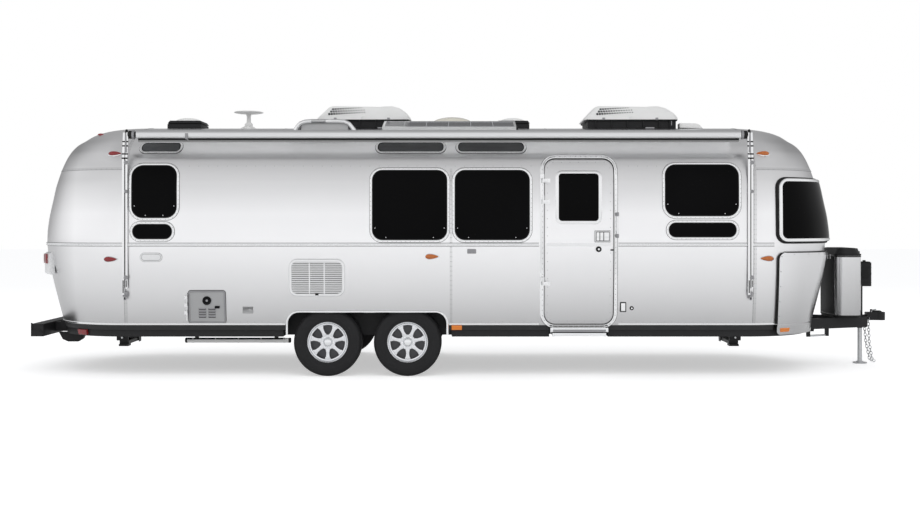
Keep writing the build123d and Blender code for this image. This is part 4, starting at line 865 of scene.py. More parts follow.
seam_metal = skin_finish("seam_strips", 0.34, 0.86)
UNDER_RIDGE = RIDGE_GIRTH - 0.02
TWO_ROWS = [(-0.008, 0.002), (0.008, 0.002)]
CAP_SEAM = 2.195
bm, roof_strips, rivets, shadow_lines = bmesh.new(), bmesh.new(), bmesh.new(), bmesh.new()
for side in (1, -1):
    for x in (REAR_SEAM, FRONT_SEAM):
        rows = girth_stations(x, side, 0, UNDER_RIDGE, 60)
        sweep(bm, rows, strip(0.030, 0.0022))
        # painted shadow line along one edge of the seam strip
        sweep(shadow_lines, rows, [(-0.018, -0.003), (-0.015, -0.003), (-0.015, 0.001), (-0.018, 0.0005)])
        riveted(rivets, rows, [(-0.010, 0.0022), (0.010, 0.0022)], 0.052)
    # the roof seam stops short of the oval windows and the door
    gaps = [(-3.60, -3.06), (2.00, 2.84)] + ([(0.72, 1.54)] if side == -1 else [])
    span = []
    for row in level_run(ROOF_SEAM, side, REAR_SEAM, FRONT_SEAM, 90) + [None]:
        if row is not None and not any(a < row[0].x < b for a, b in gaps):
            span.append(row)
            continue
        if len(span) > 1:
            sweep(roof_strips, span, strip(0.026, 0.0012))
            riveted(rivets, span, [(0.008, 0.001)], 0.10)
        span = []
    for rear, front in ((None, REAR_SEAM), (FRONT_SEAM, None)):
        rows = level_run(CAP_SEAM, side, rear, front, 60)
        sweep(bm, rows, strip(0.024, 0.002))
        # painted shadow line along one edge of the cap seam strip
        sweep(shadow_lines, rows, [(-0.0145, -0.003), (-0.012, -0.003), (-0.012, 0.001), (-0.0145, 0.0005)])
        riveted(rivets, rows, [(-0.007, 0.002)], 0.06)
    for x in (-2.10, -1.15, 0.85, 1.78):
        riveted(rivets, girth_stations(x, side, girth_at(2.545), UNDER_RIDGE, 20), [(0, 0)], 0.055)
for x, side, top, steps in (
        (SIDE_SEAM, -1, girth_at(ROOF_SEAM) - 0.02, 30), (-2.42, 1, girth_at(1.36), 12),
        (2.55, 1, girth_at(1.36), 12)):
    rows = girth_stations(x, side, 0, top, steps)
    sweep(bm, rows, strip(0.026, 0.002))
    riveted(rivets, rows, TWO_ROWS, 0.05)
piece("seam_strips", bm, seam_metal)
piece("roof_seam_strips", roof_strips, skin_metal)

RAIL_PROFILE = [
    (-0.016, -0.004), (0.016, -0.004), (0.016, 0.006), (0.013, 0.0125), (0.006, 0.0125), (0.003, 0.006),
    (-0.003, 0.006), (-0.006, 0.0125), (-0.013, 0.0125), (-0.016, 0.006)]
BELT_REAR_RUN, BELT_FRONT_RUN = (None, 0.711, 110), (1.545, 3.185, 40)      # either side of the door
bm = bmesh.new()
for side, runs in ((1, [(None, 3.185, 130)]), (-1, [BELT_REAR_RUN, BELT_FRONT_RUN])):
    for run in runs:
        rows = level_run(BELT, side, *run)
        sweep(bm, rows, RAIL_PROFILE)
        # painted shadow lines along both edges of the belt rail
        for low, high in ((-0.0195, -0.0160), (0.0160, 0.0195)):
            sweep(shadow_lines, rows, oblong(low, high, -0.003, 0.003))
piece("belt_rail_bars", bm, bright, replaces=["belt_rail"])
piece("painted_shadow_lines", shadow_lines, shadow_line_grey)

bm = bmesh.new()
for side, runs in (
        (1, [(None, -1.965), (-0.23, None)]), (-1, [(None, -1.965), (-0.23, 0.712), (1.552, None)])):
    for rear, front in runs:
        rows = level_run(SKIRT + 0.012, side, rear, front, 60)
        sweep(bm, rows, strip(0.020, 0.006))
        riveted(rivets, rows, [(0.022, 0.0)], 0.075)
piece("rub_strip", bm, bright)
piece("skin_rivets", rivets, rivet_metal, slot="polished_skin", crease=60)

# ---------------- wheel-arch trims
# Rolled bright strips pop-riveted round both wheel openings.
ARCH_REAR, ARCH_FRONT = ARCH[0] - 0.010, ARCH[1] + 0.010
ARCH_MIDDLE = (ARCH_REAR + ARCH_FRONT) / 2
ARCH_PROFILE = [
    (-0.012, -0.012), (0.011, -0.012), (0.011, 0.007), (0.006, 0.0125), (-0.008, 0.0125), (-0.012, 0.009)]


def arch_foot(x, side, along, heights):
    """Straight end of a trim, down over the skirt below the skin."""
    start = on_side(x, SKIRT, 0, side)[0]
    return [
        (start + Vector((0, 0, z - SKIRT)), Vector((along, 0, 0)), Vector((0, side, 0))) for z in heights]


bm = bmesh.new()
for side in (1, -1):
    rows = [
        row for row in ring(ARCH_REAR, ARCH_FRONT, 0.20, 0.690, 0.130, per_corner=10) if row[1] >= 0.556]
    stations = edge_stations(rows, lambda x, z: on_side(x, z, 0, side))
    front_half = [row for row in stations if row[0].x > ARCH_MIDDLE]
    rear_half = [row for row in stations if row[0].x <= ARCH_MIDDLE]
    front_half.sort(key=lambda row: (row[0].z, -row[0].x))
    rear_half.sort(key=lambda row: (-row[0].z, -row[0].x))
    front_foot = arch_foot(ARCH_FRONT, side, 1, (0.445, 0.50, 0.548))
    rear_foot = arch_foot(ARCH_REAR, side, -1, (0.548, 0.50, 0.445))
    sweep(bm, front_foot + front_half + rear_half + rear_foot, ARCH_PROFILE)
piece("arch_trim_strips", bm, bright, replaces=["arch_trims"])

# ---------------- side windows
# Tinted toughened glass in round-cornered aluminium frames, riveted to the skin on a
# black rubber seal; small oval roof windows sit in the shoulder.
glass = Finish("tinted_glass", (0.002, 0.002, 0.002), 0.08, 0.0, slot="dark_glass", Specular_IOR_Level=0.04)
glass.mottle(0.8, (0.001, 0.001, 0.001), (0.004, 0.004, 0.0045))
roof_glass = Finish("roof_glass", (0.10, 0.105, 0.11), 0.12, 0.0, slot="dark_glass", Specular_IOR_Level=0.3)
roof_glass.mottle(2.0, (0.07, 0.073, 0.076), (0.13, 0.135, 0.14))
seal = painted(
    "black_seal", (0.012, 0.012, 0.012), 0.6, slot="black_plastic", grain_scale=500, Specular_IOR_Level=0.2)


def corner_in(away, radius):
    """How far a round corner draws the edge in, at a distance from the end."""
    return radius - math.sqrt(max(0, radius * radius - (radius - away) ** 2)) if away < radius else 0.0


def eased(low, high, radius, middle, corner=6):
    """Steps between two values, close together near each end."""
    near = [radius * (1 - math.cos(math.pi / 2 * step / corner)) for step in range(corner + 1)]
    return ([low + step for step in near][:-1] + spaced(low + radius, high - radius, middle)
            + [high - step for step in reversed(near)][1:])


def thicken(bm, faces, thick, facing):
    """Turn the faces of a sheet the way facing(middle) points, then give it a thickness inwards."""
    for face in faces:
        face.normal_update()
        if face.normal.dot(facing(face.calc_center_median())) < 0:
            face.normal_flip()
    bmesh.ops.solidify(bm, geom=faces, thickness=thick)


def pane(bm, corners, side, proud, thick=0.008, domed=0.0, columns=14, levels=8, hole=None):
    """Round-cornered panel that follows the side wall, with an opening cut in it where one is given."""
    x0, x1, z0, z1, radius = corners
    heights = eased(z0, z1, radius, levels)
    before = set(bm.faces)

    def place(i, j):
        height = heights[j]
        drawn = corner_in(min(height - z0, z1 - height), radius)
        bulge = domed * (1 - (2 * i / columns - 1) ** 2) * (1 - (2 * (height - z0) / (z1 - z0) - 1) ** 2)
        return on_side(x0 + drawn + (x1 - x0 - 2 * drawn) * i / columns, height, proud + bulge, side)[0]

    mapped_grid(bm, columns, len(heights) - 1, place)
    if hole:
        cut_hole(bm, *hole, side)
    made = [face for face in bm.faces if face not in before]
    thicken(bm, made, thick, lambda middle: Vector((0, side, 0)))


FRAME_PROFILE = [
    (-0.006, -0.003), (0.021, -0.003), (0.021, 0.006), (0.017, 0.0085), (0.004, 0.0085), (-0.003, 0.0055)]
SEAL_PROFILE = [(-0.013, -0.003), (-0.004, -0.003), (-0.004, 0.0048), (-0.009, 0.0055), (-0.013, 0.0035)]
# black bead along each frame's outer edge: a painted shadow line
FRAME_SHADOW_LINE = [(0.0205, -0.003), (0.0245, -0.003), (0.0245, 0.003), (0.0205, 0.004)]
RIVET_LINE, RIVET_PITCH = [(0.0115, 0.0085)], 0.048
PANE_GAP = -0.001
panes, ovals = bmesh.new(), bmesh.new()
frames, seals, rivets, pins = bmesh.new(), bmesh.new(), bmesh.new(), bmesh.new()
for index, corners in enumerate(SIDE_OPENINGS):
    oval = index >= 6
    for side in (1, -1):
        pane(ovals if oval else panes, grown(corners, PANE_GAP), side, 0.002, domed=0.004 if oval else 0.0)
        rows = side_ring(corners, side)
        sweep(frames, rows, FRAME_PROFILE)
        sweep(seals, rows, SEAL_PROFILE)
        sweep(seals, rows, FRAME_SHADOW_LINE)
        riveted(rivets, rows, RIVET_LINE, RIVET_PITCH)
piece("side_panes", panes, glass, replaces=["side_glass"], crease=50)
piece("roof_panes", ovals, roof_glass, crease=50)
piece("window_frames", frames, bright, replaces=["side_frames"])
piece("window_seals_and_shadow_lines", seals, seal)
piece("window_rivets", rivets, rivet_metal, crease=60)
for index in (2, 3, 4, 0):
    x0, x1, z0, z1, radius = SIDE_OPENINGS[index]
    for side in (1, -1):
        for in_x, in_z in ((0.035, 0.13), (0.15, 0.032)):
            for x in (x0 + in_x, x1 - in_x):
                point, out = on_side(x, z0 + in_z, 0.002, side)
                bar(pins, point, point + out * 0.003, 0.006, 0.004, 10)
piece("window_pins", pins, chrome)

# ---------------- front panorama window
# Three curved panes wrap the front under one bright frame; each pane lies in a black
# gasket and two covered mullions stand between them.
WRAP = (3.225, 1.425, 2.085, 0.090)
MULLION_Y = 0.520
GLASS_OUT = 0.044
WRAP_BEND = 3.4            # X from which the panes face forward as well as outward


GASKET = 0.030
PANE_EDGE = (WRAP[1] + GASKET, WRAP[2] - GASKET, WRAP[3] - GASKET)      # foot, top and corner radius
MULLION_HALF = 0.033


def wrap_pane(bm, begin, end, side, columns):
    """Pane between two places on the wrap, each given by its girth and how far the corner is drawn in."""
    z0, z1, radius = PANE_EDGE
    heights = eased(z0, z1, radius, 10)

    def place(i, j):
        drawn = corner_in(min(heights[j] - z0, z1 - heights[j]), radius)
        girth = girth_at(heights[j])
        first, last = begin(girth, drawn), end(girth, drawn)
        return on_skin(first + (last - first) * i / columns, girth, GLASS_OUT, side)[0]

    mapped_grid(bm, columns, len(heights) - 1, place)


bm = bmesh.new()
for side in (1, -1):
    wrap_pane(bm, lambda girth, drawn: way_of_x(WRAP[0] + GASKET + drawn, girth),
              lambda girth, drawn: way_of_y(MULLION_Y + MULLION_HALF + drawn * 0.4, girth), side, 30)
    wrap_pane(bm, lambda girth, drawn: way_of_y(MULLION_Y - MULLION_HALF - drawn * 0.4, girth),
              lambda girth, drawn: 5, side, 10)
bmesh.ops.remove_doubles(bm, verts=bm.verts, dist=1e-6)
thicken(bm, list(bm.faces), 0.010, lambda middle: Vector((1 if middle.x > WRAP_BEND else 0, middle.y, 0)))
piece("front_panes", bm, glass, crease=50)


def wrap_loop(grow, per_corner=8):
    """Closed stations round the whole wrap-round window, grown by a margin."""
    rear, z0, z1, radius = WRAP
    radius += grow
    z0, z1, rear = z0 - grow, z1 + grow, rear - grow
    arc = [(radius * (1 - math.cos(angle)), radius * (1 - math.sin(angle)))
           for angle in spaced(0, math.pi / 2, per_corner)]
    part = [(rear + low, z0 + high) for high, low in arc]
    part += [(rear, height) for height in spaced(z0 + radius, z1 - radius, 10)[1:-1]]
    part += [(rear + low, z1 - high) for low, high in arc]
    lower = [(way, girth_at(z0)) for way in spaced(5, way_of_x(part[0][0], girth_at(z0)), 44)]
    edge = [(way_of_x(x, girth_at(z)), girth_at(z)) for x, z in part]
    upper = [(way, girth_at(z1)) for way in spaced(way_of_x(part[-1][0], girth_at(z1)), 5, 44)]
    line = lower[:-1] + edge + upper[1:]
    return [(-1, *spot) for spot in line] + [(1, *spot) for spot in reversed(line)]


def wrap_stations(shift):
    """Sweep stations round the wrap-round window at a margin from its edge."""
    stations = []
    for (side, way, girth), (far_side, far_way, far_girth) in zip(
            wrap_loop(shift), wrap_loop(shift + 0.004)):
        point, out = on_skin(way, girth, 0, side)
        ahead = on_skin(far_way, far_girth, 0, far_side)[0]
        stations.append((point, (ahead - point).normalized(), out))
    return stations + stations[:1]


bm = bmesh.new()
sweep(bm, wrap_stations(-0.012), [
    (-0.020, 0.010), (0.012, -0.004), (0.014, 0.030), (0.010, 0.046), (0.002, 0.0505), (-0.012, 0.0505),
    (-0.020, 0.046)])
piece("front_window_rim", bm, bright, replaces=["end_frames"])
bm = bmesh.new()
sweep(bm, wrap_stations(0.006), [
    (-0.006, -0.003), (0.016, -0.003), (0.016, 0.010), (0.008, 0.022), (-0.006, 0.026)])
for side in (1, -1):
    rows = []
    for height in spaced(WRAP[1] + 0.020, WRAP[2] - 0.020, 14):
        girth = girth_at(height)
        point, out = on_skin(way_of_y(MULLION_Y, girth), girth, 0, side)
        rows.append((point, UP.cross(out).normalized(), out))
    sweep(bm, rows, [
        (-0.034, 0.020), (0.034, 0.020), (0.034, 0.044), (0.030, 0.050), (-0.030, 0.050), (-0.034, 0.044)])
piece("front_gaskets", bm, seal)

# ---------------- rear window
# One wide tinted pane in the rear end, framed and riveted as the side windows are.
REAR_WINDOW = (-0.560, 0.560, 1.480, 2.060, 0.090)


def on_end(y, height, proud=0.0):
    """Point on the rear end at a signed distance from the middle, and the outward direction there."""
    girth = girth_at(height)
    return on_skin(way_of_y(abs(y), girth, False), girth, proud, -1 if y < 0 else 1)


def end_pane(bm, corners, proud, thick, columns=20):
    """Round-cornered pane that follows the rear end."""
    y0, y1, z0, z1, radius = corners
    heights = eased(z0, z1, radius, 8)

    def place(i, j):
        height = heights[j]
        drawn = corner_in(min(height - z0, z1 - height), radius)
        return on_end(y0 + drawn + (y1 - y0 - 2 * drawn) * i / columns, height, proud)[0]

    mapped_grid(bm, columns, len(heights) - 1, place)
    thicken(bm, list(bm.faces), thick, lambda middle: Vector((-1, 0, 0)))


bm = bmesh.new()
end_pane(bm, grown(REAR_WINDOW, PANE_GAP), 0.002, 0.008)
piece("rear_pane", bm, glass, replaces=["end_glass"], crease=50)
bm, rivets = bmesh.new(), bmesh.new()
rows = edge_stations(ring(*REAR_WINDOW), on_end)
sweep(bm, rows, FRAME_PROFILE)
riveted(rivets, rows, RIVET_LINE, RIVET_PITCH)
piece("rear_window_frame", bm, bright)
bm = bmesh.new()
sweep(bm, rows, SEAL_PROFILE)
piece("rear_window_seal", bm, seal)
piece("rear_window_rivets", rivets, rivet_metal, crease=60)

# ---------------- entrance door
# Framed aluminium leaf with a round-cornered window, hung on three hinges in a bright
# extruded surround; the leaf, its window, latch and lock swing together.
DOOR_PANE = (0.914, 1.342, 1.638, 2.145, 0.040)
DOOR_THICK = 0.042
bm = bmesh.new()
pane(bm, DOOR, -1, 0.0, DOOR_THICK, columns=10, levels=30, hole=DOOR_PANE)
piece("door_leaf", bm, skin_metal, "door", ["door_panel"], crease=45)
bm = bmesh.new()
pane(bm, grown(DOOR_PANE, -0.0005), -1, 0.001, 0.010)
piece("door_pane", bm, glass, "door", ["door_glass"], crease=50)
bm = bmesh.new()
sweep(bm, side_ring(DOOR_PANE, -1), [
    (-0.008, -0.003), (0.030, -0.003), (0.030, 0.004), (0.024, 0.009), (0.004, 0.012), (-0.004, 0.010),
    (-0.008, 0.004)])
piece("door_window_frame", bm, bright, "door")
bm = bmesh.new()
rows = level_run(BELT, -1, 0.790, 1.474, 16)
sweep(bm, rows, [(across, min(out, 0.005)) for across, out in RAIL_PROFILE])
HINGE_X, HINGE_Y = 0.755, -1.307
HINGE_TOPS = (1.007, 1.865, 2.087)
HINGE_TALL = 0.042
for top in HINGE_TOPS:
    foot = top - HINGE_TALL
    bar(bm, (HINGE_X, HINGE_Y, foot), (HINGE_X, HINGE_Y, top), 0.0085, sides=20)
    slab(bm, HINGE_X, 0.800, -1.3145, -1.3085, foot, top, 0.0015)
    rows = [(on_side(x, (foot + top) / 2)[0], UP, OUT_RIGHT) for x in (0.784, 0.829)]
    sweep(bm, rows, oblong(-0.021, 0.021, -0.003, 0.030))
piece("door_trim", bm, bright, "door")
bm, rivets = bmesh.new(), bmesh.new()
sweep(bm, side_ring(grown(DOOR, -0.014), -1), strip(0.018, 0.0018))
piece("door_edge", bm, skin_metal, "door")
riveted(rivets, side_ring(grown(DOOR, -0.030), -1), [(0, 0)], 0.09)
piece("door_rivets", rivets, rivet_metal, "door", crease=60)

# latch with its paddle in a framed case, a round black lock under it and a black stop
DOOR_FACE = -1.2803
latch_grey = painted("latch_grey", (0.30, 0.30, 0.31), 0.35, 0.6, slot="bright_trim")
black_lacquer = painted(
    "black_lacquer", (0.020, 0.020, 0.021), 0.4, slot="black_plastic", grain=0, Specular_IOR_Level=0.3)
bm = bmesh.new()
slab(bm, 1.300, 1.457, -1.306, DOOR_FACE, 1.423, 1.538, 0.006)
piece("latch_case", bm, bright, "door", ["door_handle"])
bm = bmesh.new()
slab(bm, 1.306, 1.451, -1.3075, -1.300, 1.429, 1.532, 0.003)
slab(bm, 1.296, 1.461, -1.288, DOOR_FACE, 1.419, 1.542, 0.003)
piece("latch_recess", bm, black_lacquer, "door")
bm = bmesh.new()
slab(bm, 1.350, 1.385, -1.311, -1.304, 1.437, 1.524, 0.003)
slab(bm, 1.391, 1.445, -1.313, -1.302, 1.436, 1.525, 0.004)
slab(bm, 1.312, 1.344, -1.311, -1.302, 1.436, 1.525, 0.003)
piece("latch_paddle", bm, bright, "door")
LOCK = (1.338, DOOR_FACE, 1.346)
bm = bmesh.new()
lathe(bm, [(0.0, 0.0), (0.030, 0.0), (0.030, 0.012), (0.026, 0.018), (0.014, 0.019), (0.0, 0.019)], LOCK,
      OUT_RIGHT, 28)
slab(bm, 1.462, 1.492, -1.292, DOOR_FACE, 1.330, 1.346, 0.003)
piece("door_lock", bm, seal, "door")
bm = bmesh.new()
lathe(bm, oblong(0.0, 0.011, 0.017, 0.021), LOCK, OUT_RIGHT, 20)
piece("lock_barrel", bm, chrome, "door")

# surround, fixed to the wall, with its rubber lip and the grab handle beside it
cad_finish(bright, "door_frame")
DOOR_BEADS = [
    (0.010, [(-0.003, -0.004), (0.010, -0.004), (0.010, 0.0125), (0.004, 0.016), (-0.003, 0.013)]),
    (0.036, [(-0.006, -0.004), (0.006, -0.004), (0.006, 0.009), (0.0, 0.013), (-0.006, 0.011)])]
DOOR_LIPS = [
    (0.002, [(0.0, -0.010), (0.0055, -0.010), (0.0055, 0.0145), (0.0, 0.006)]),
    (0.042, [(0.0, -0.003), (0.0045, -0.003), (0.0045, 0.004), (0.0, 0.005)])]
for name, finish, loops in (("door_surround_beads", bright, DOOR_BEADS), ("door_rubber", seal, DOOR_LIPS)):
    bm = bmesh.new()
    for margin, profile in loops:
        sweep(bm, side_ring(grown(DOOR, margin), -1), profile)
    piece(name, bm, finish)
rivets = bmesh.new()
riveted(rivets, side_ring(grown(DOOR, 0.023), -1), [(0, 0.0102)], 0.055)
piece("door_surround_rivets", rivets, rivet_metal, crease=60)
bm = bmesh.new()
for z in (1.487, 1.712):
    lathe(bm, button(0.019, 0.006, 0.014, 0.012), (1.530, -1.290, z), OUT_RIGHT, 20)
    slab(bm, 1.516, 1.544, -1.343, -1.318, z - 0.022, z + 0.022, 0.006)
piece("grab_ends", bm, latch_grey)

# ---------------- heater hatch and wall vents
# Painted steel hatch over the water heater with its flue and louvres, a louvred
# fridge vent, and the small service outlets let into the wall.
hatch_paint = painted(
    "hatch_paint", (0.41, 0.412, 0.415), 0.42, 0.4, slot="grey_panel", mottle=0.05, grain=0.0002)
# near-black for openings, gaps and holes: painted shade
opening_shade = painted("painted_opening_shade", (0.010, 0.010, 0.011), 0.7, slot="black_plastic", Specular_IOR_Level=0.1)
bm = bmesh.new()
pane(bm, HATCH, -1, 0.0, 0.020, columns=8)
piece("hatch_leaf", bm, hatch_paint, "hatch_door", ["heater_hatch"], crease=45)


def wall_y(height, proud=0.0):
    """Y of the right-hand wall at a height."""
    return -(section(girth_at(height))[0] + proud)


def wall_run(xs, height):
    """Level stations on the right-hand wall."""
    return [(Vector((x, wall_y(height), height)), UP, OUT_RIGHT) for x in xs]


def wall_slab(bm, x0, x1, z0, z1, at, proud, sunk, soften=0.0, segments=2):
    """Box from a little under the right-hand wall to a little proud of it, both measured at one height."""
    slab(bm, x0, x1, wall_y(at, proud), wall_y(at, sunk), z0, z1, soften, segments)


LOUVRE_FOOT, LOUVRE_PITCH, LOUVRE_LONG = 0.638, 0.0275, 0.082
LOUVRE_XS = (-2.872, -2.772)
FLUE_X, FLUE_Z = -2.782, 0.804
bm, flue = bmesh.new(), bmesh.new()
sweep(bm, side_ring(grown(HATCH, -0.010), -1), [
    (-0.008, -0.003), (0.008, -0.003), (0.008, 0.003), (0.004, 0.006), (-0.004, 0.006), (-0.008, 0.003)])
for row in range(4):
    height = LOUVRE_FOOT + LOUVRE_PITCH * row
    gap = height - 0.0115
    for x in LOUVRE_XS:
        sweep(bm, wall_run((x, x + LOUVRE_LONG), height), [
            (-0.008, -0.004), (0.007, -0.004), (0.005, 0.004), (-0.007, 0.009)])
        # dark strip in the gap under each louvre: painted shade
        wall_slab(flue, x + 0.004, x + 0.078, gap - 0.0035, gap + 0.003, gap, 0.0012, -0.003)
piece("hatch_louvres", bm, latch_grey, "hatch_door", slot="grey_panel")
lathe(flue, [(0.0, -0.004), (0.046, -0.004), (0.046, 0.010), (0.040, 0.014), (0.033, 0.006), (0.0, 0.004)],
      (FLUE_X, wall_y(FLUE_Z), FLUE_Z), OUT_RIGHT, 32)
wall_slab(flue, -2.700, -2.648, 0.722, 0.748, 0.735, 0.012, -0.002, 0.003)
piece("hatch_flue_and_gap_shade", flue, opening_shade, "hatch_door")
bm = bmesh.new()
lathe(bm, [(0.0, 0.002), (0.012, 0.002), (0.012, 0.009), (0.0, 0.012)], (FLUE_X, wall_y(FLUE_Z), FLUE_Z),
      OUT_RIGHT, 20)
piece("flue_cap", bm, latch_grey, "hatch_door", slot="grey_panel")

VENT = (-1.916, -1.328, 0.851, 1.243, 0.085)
VENT_REAR, VENT_FRONT, VENT_FOOT, VENT_TOP = -1.890, -1.354, 0.881, 1.213      # field of the louvres
louvre_metal = painted(
    "louvre_metal", (0.82, 0.825, 0.83), 0.36, 1.0, mottle=0.04, grain=0, slot="bright_trim")
# dark plate behind the vent louvres: painted shade
bm = bmesh.new()
pane(bm, grown(VENT, -0.022), -1, 0.002, 0.004)
piece("vent_back", bm, opening_shade, crease=50)
bm = bmesh.new()
sweep(bm, side_ring(grown(VENT, -0.016), -1), [
    (-0.014, -0.003), (0.016, -0.003), (0.016, 0.006), (0.010, 0.013), (-0.010, 0.015), (-0.014, 0.010)])
for x0, x1 in ((VENT_REAR, -1.706), (-1.694, -1.550), (-1.538, VENT_FRONT)):
    for row in range(15):
        height = 0.894 + 0.0222 * row
        drawn = corner_in(min(height - VENT_FOOT, VENT_TOP - height), 0.045)
        ends = (x0 + drawn * (x0 == VENT_REAR), x1 - drawn * (x1 == VENT_FRONT))
        sweep(bm, wall_run(ends, height), [
            (-0.0082, 0.0085), (-0.0062, 0.0105), (0.0082, 0.0045), (0.0072, 0.0025)])
for x in (-1.700, -1.544):
    stations = [(Vector((x, wall_y(z), z)), FORWARD, OUT_RIGHT) for z in (0.868, 1.226)]
    sweep(bm, stations, oblong(-0.006, 0.006, 0.001, 0.012))
sweep(bm, side_ring(grown(VENT, 0.001), -1), [(0.0, -0.003), (0.004, -0.003), (0.004, 0.004), (0.0, 0.005)])
piece("vent_louvres", bm, louvre_metal, replaces=["vent_grille"])
bm = bmesh.new()
wall_slab(bm, -1.640, -1.604, 0.861, 0.879, 0.872, 0.0185, 0.010, 0.002)
piece("vent_latch", bm, seal)

bm = bmesh.new()
wall_slab(bm, -2.408, -2.296, 0.668, 0.742, 0.70, 0.006, -0.002, 0.004)
wall_slab(bm, -2.404, -2.300, 0.732, 0.740, 0.70, 0.012, 0.004, 0.002)
piece("service_plate", bm, hatch_paint)
OUTLET = (1.690, wall_y(0.724), 0.724)
bm = bmesh.new()
wall_slab(bm, 1.566, 1.632, 0.684, 0.790, 0.74, 0.012, -0.002, 0.008, 3)
lathe(bm, button(0.021, 0.008, 0.015, 0.011, -0.002), OUTLET, OUT_RIGHT, 28)
piece("outlet_rim", bm, seal)
bm = bmesh.new()
wall_slab(bm, 1.576, 1.622, 0.694, 0.780, 0.74, 0.016, 0.008, 0.005, 3)
lathe(bm, [(0.0, 0.010), (0.010, 0.010), (0.009, 0.014), (0.0, 0.0145)], OUTLET, OUT_RIGHT, 20)
piece("outlet_cover", bm, bright)
BADGE = (-3.476, -3.248, 1.217, 1.305, 0.0435)
bm, shadow_lines = bmesh.new(), bmesh.new()
pane(bm, grown(BADGE, -0.004), -1, 0.003, 0.004)
rows = side_ring(BADGE, -1)
sweep(bm, rows, [
    (-0.010, -0.002), (0.0, -0.002), (0.0, 0.005), (-0.003, 0.0065), (-0.007, 0.0065), (-0.010, 0.004)])
# painted shadow lines round the badge's outer and inner edges
sweep(shadow_lines, rows, [(0.0, -0.003), (0.0035, -0.003), (0.0035, 0.002), (0.0, 0.003)])
sweep(shadow_lines, rows, [(-0.0135, 0.0020), (-0.010, 0.0020), (-0.010, 0.0045), (-0.0135, 0.0040)])
piece("oval_badge", bm, bright, crease=50)
piece("badge_shadow_lines", shadow_lines, shadow_line_grey)
bm = bmesh.new()
wall_slab(bm, -0.042, 0.052, 1.300, 1.348, 1.33, 0.016, -0.002, 0.006)
bar(bm, (0.005, wall_y(1.33, 0.014), 1.312), (0.005, wall_y(1.33, 0.040), 1.318), 0.010, sides=16)
piece("door_holdback", bm, latch_grey)

# ---------------- stone guards
# Bright stainless panels screwed over the front lower corners on a black rubber edge,
# with a folded band along the foot.
# the stone guards and the gas cover take the skin's painted reflection and shade
steel = skin_finish("stainless_guard", 0.24)
GUARD_REAR, GUARD_TOP, GUARD_MIDDLE = 3.226, 1.313, 0.432
GUARD_CORNER = 0.075
GUARD_DROP = 0.105         # how far the foot band hangs below the skin
GUARD_BEND = 2.9           # X from which a guard faces forward as well as outward
GUARD_HEIGHTS = eased(SKIRT + 0.012, GUARD_TOP, GUARD_CORNER, 14)
GUARD_SHEET = [(height, 0.0, 0.0, corner_in(GUARD_TOP - height, GUARD_CORNER)) for height in GUARD_HEIGHTS]
GUARD_BAND = [
    (SKIRT, GUARD_DROP, 0.020, 0.040), (SKIRT, GUARD_DROP - 0.008, 0.022, 0.020),
    (SKIRT, GUARD_DROP - 0.022, 0.024, 0.006), (SKIRT, GUARD_DROP - 0.040, 0.026, 0.0),
    (SKIRT, 0.020, 0.030, 0.0), (SKIRT, 0.0, 0.036, 0.0), (SKIRT, -0.010, 0.036, 0.0),
    (SKIRT, -0.016, 0.030, 0.0)]


def guard(name, rows, proud, thick, replaces=()):
    """Sheet round each front corner; rows give height, drop, stand-off and how far its rear is drawn in."""
    def place(i, j):
        height, drop, out, drawn = rows[j]
        girth = girth_at(height)
        first = way_of_x(GUARD_REAR + drawn, girth)
        last = way_of_y(GUARD_MIDDLE, girth)
        point = on_skin(first + (last - first) * i / 40, girth, proud + out, side)[0]
        return point - Vector((0, 0, drop))

    bm = bmesh.new()
    for side in (1, -1):
        mapped_grid(bm, 40, len(rows) - 1, place)
    thicken(
        bm, list(bm.faces), thick, lambda middle: Vector((max(0, middle.x - GUARD_BEND), middle.y, 0.3)))
    piece(name, bm, steel, replaces=replaces, crease=50)


guard("guard_sheets", GUARD_SHEET, 0.030, 0.024, ["stone_guards"])
guard("guard_bands", GUARD_BAND, 0.0, 0.014)
bm, rivets = bmesh.new(), bmesh.new()
for side in (1, -1):
    edge = []
    for height, *_, drawn in GUARD_SHEET[:-1]:
        girth = girth_at(height)
        point, out = on_skin(way_of_x(GUARD_REAR + drawn, girth), girth, 0, side)
        edge.append((point, FORWARD, out))
    sweep(bm, edge, [(-0.008, -0.003), (0.004, -0.003), (0.004, 0.031), (-0.003, 0.033), (-0.008, 0.026)])
    riveted(rivets, edge[1:], [(0.024, 0.030)], 0.16)
    girth = girth_at(GUARD_TOP)
    first, last = way_of_x(GUARD_REAR + GUARD_CORNER, girth), way_of_y(GUARD_MIDDLE, girth)
    top = [
        (point, UP, out) for point, out in (on_skin(way, girth, 0, side) for way in spaced(first, last,
        40))]
    sweep(bm, top, [(-0.004, -0.003), (0.006, -0.003), (0.006, 0.026), (0.002, 0.033), (-0.004, 0.031)])
    riveted(rivets, top, [(-0.020, 0.030)], 0.2)
piece("guard_edges", bm, seal)
piece("guard_screws", rivets, rivet_metal, crease=60)

# ---------------- lamps and reflectors
# Teardrop marker lamps on bright bases, a tall tail light at each rear corner and flat
# reflectors on the skirt.
lens_red = Finish("lens_red", (0.26, 0.014, 0.018), 0.22, 0.0, slot="lamp_lens", Coat_Weight=0.2)
lens_red.mottle(60, (0.18, 0.010, 0.014), (0.34, 0.020, 0.026))
lens_amber = Finish("lens_amber", (0.50, 0.13, 0.02), 0.22, 0.0, slot="lamp_lens", Coat_Weight=0.2)
lens_amber.mottle(60, (0.38, 0.09, 0.012), (0.66, 0.18, 0.025))


def blob(bm, segments, place):
    """Ball of unit radius whose points are moved to place(x, y, z)."""
    made = bmesh.ops.create_uvsphere(bm, u_segments=segments, v_segments=segments // 2, radius=1.0)
    for vert in made["verts"]:
        vert.co = place(*vert.co)


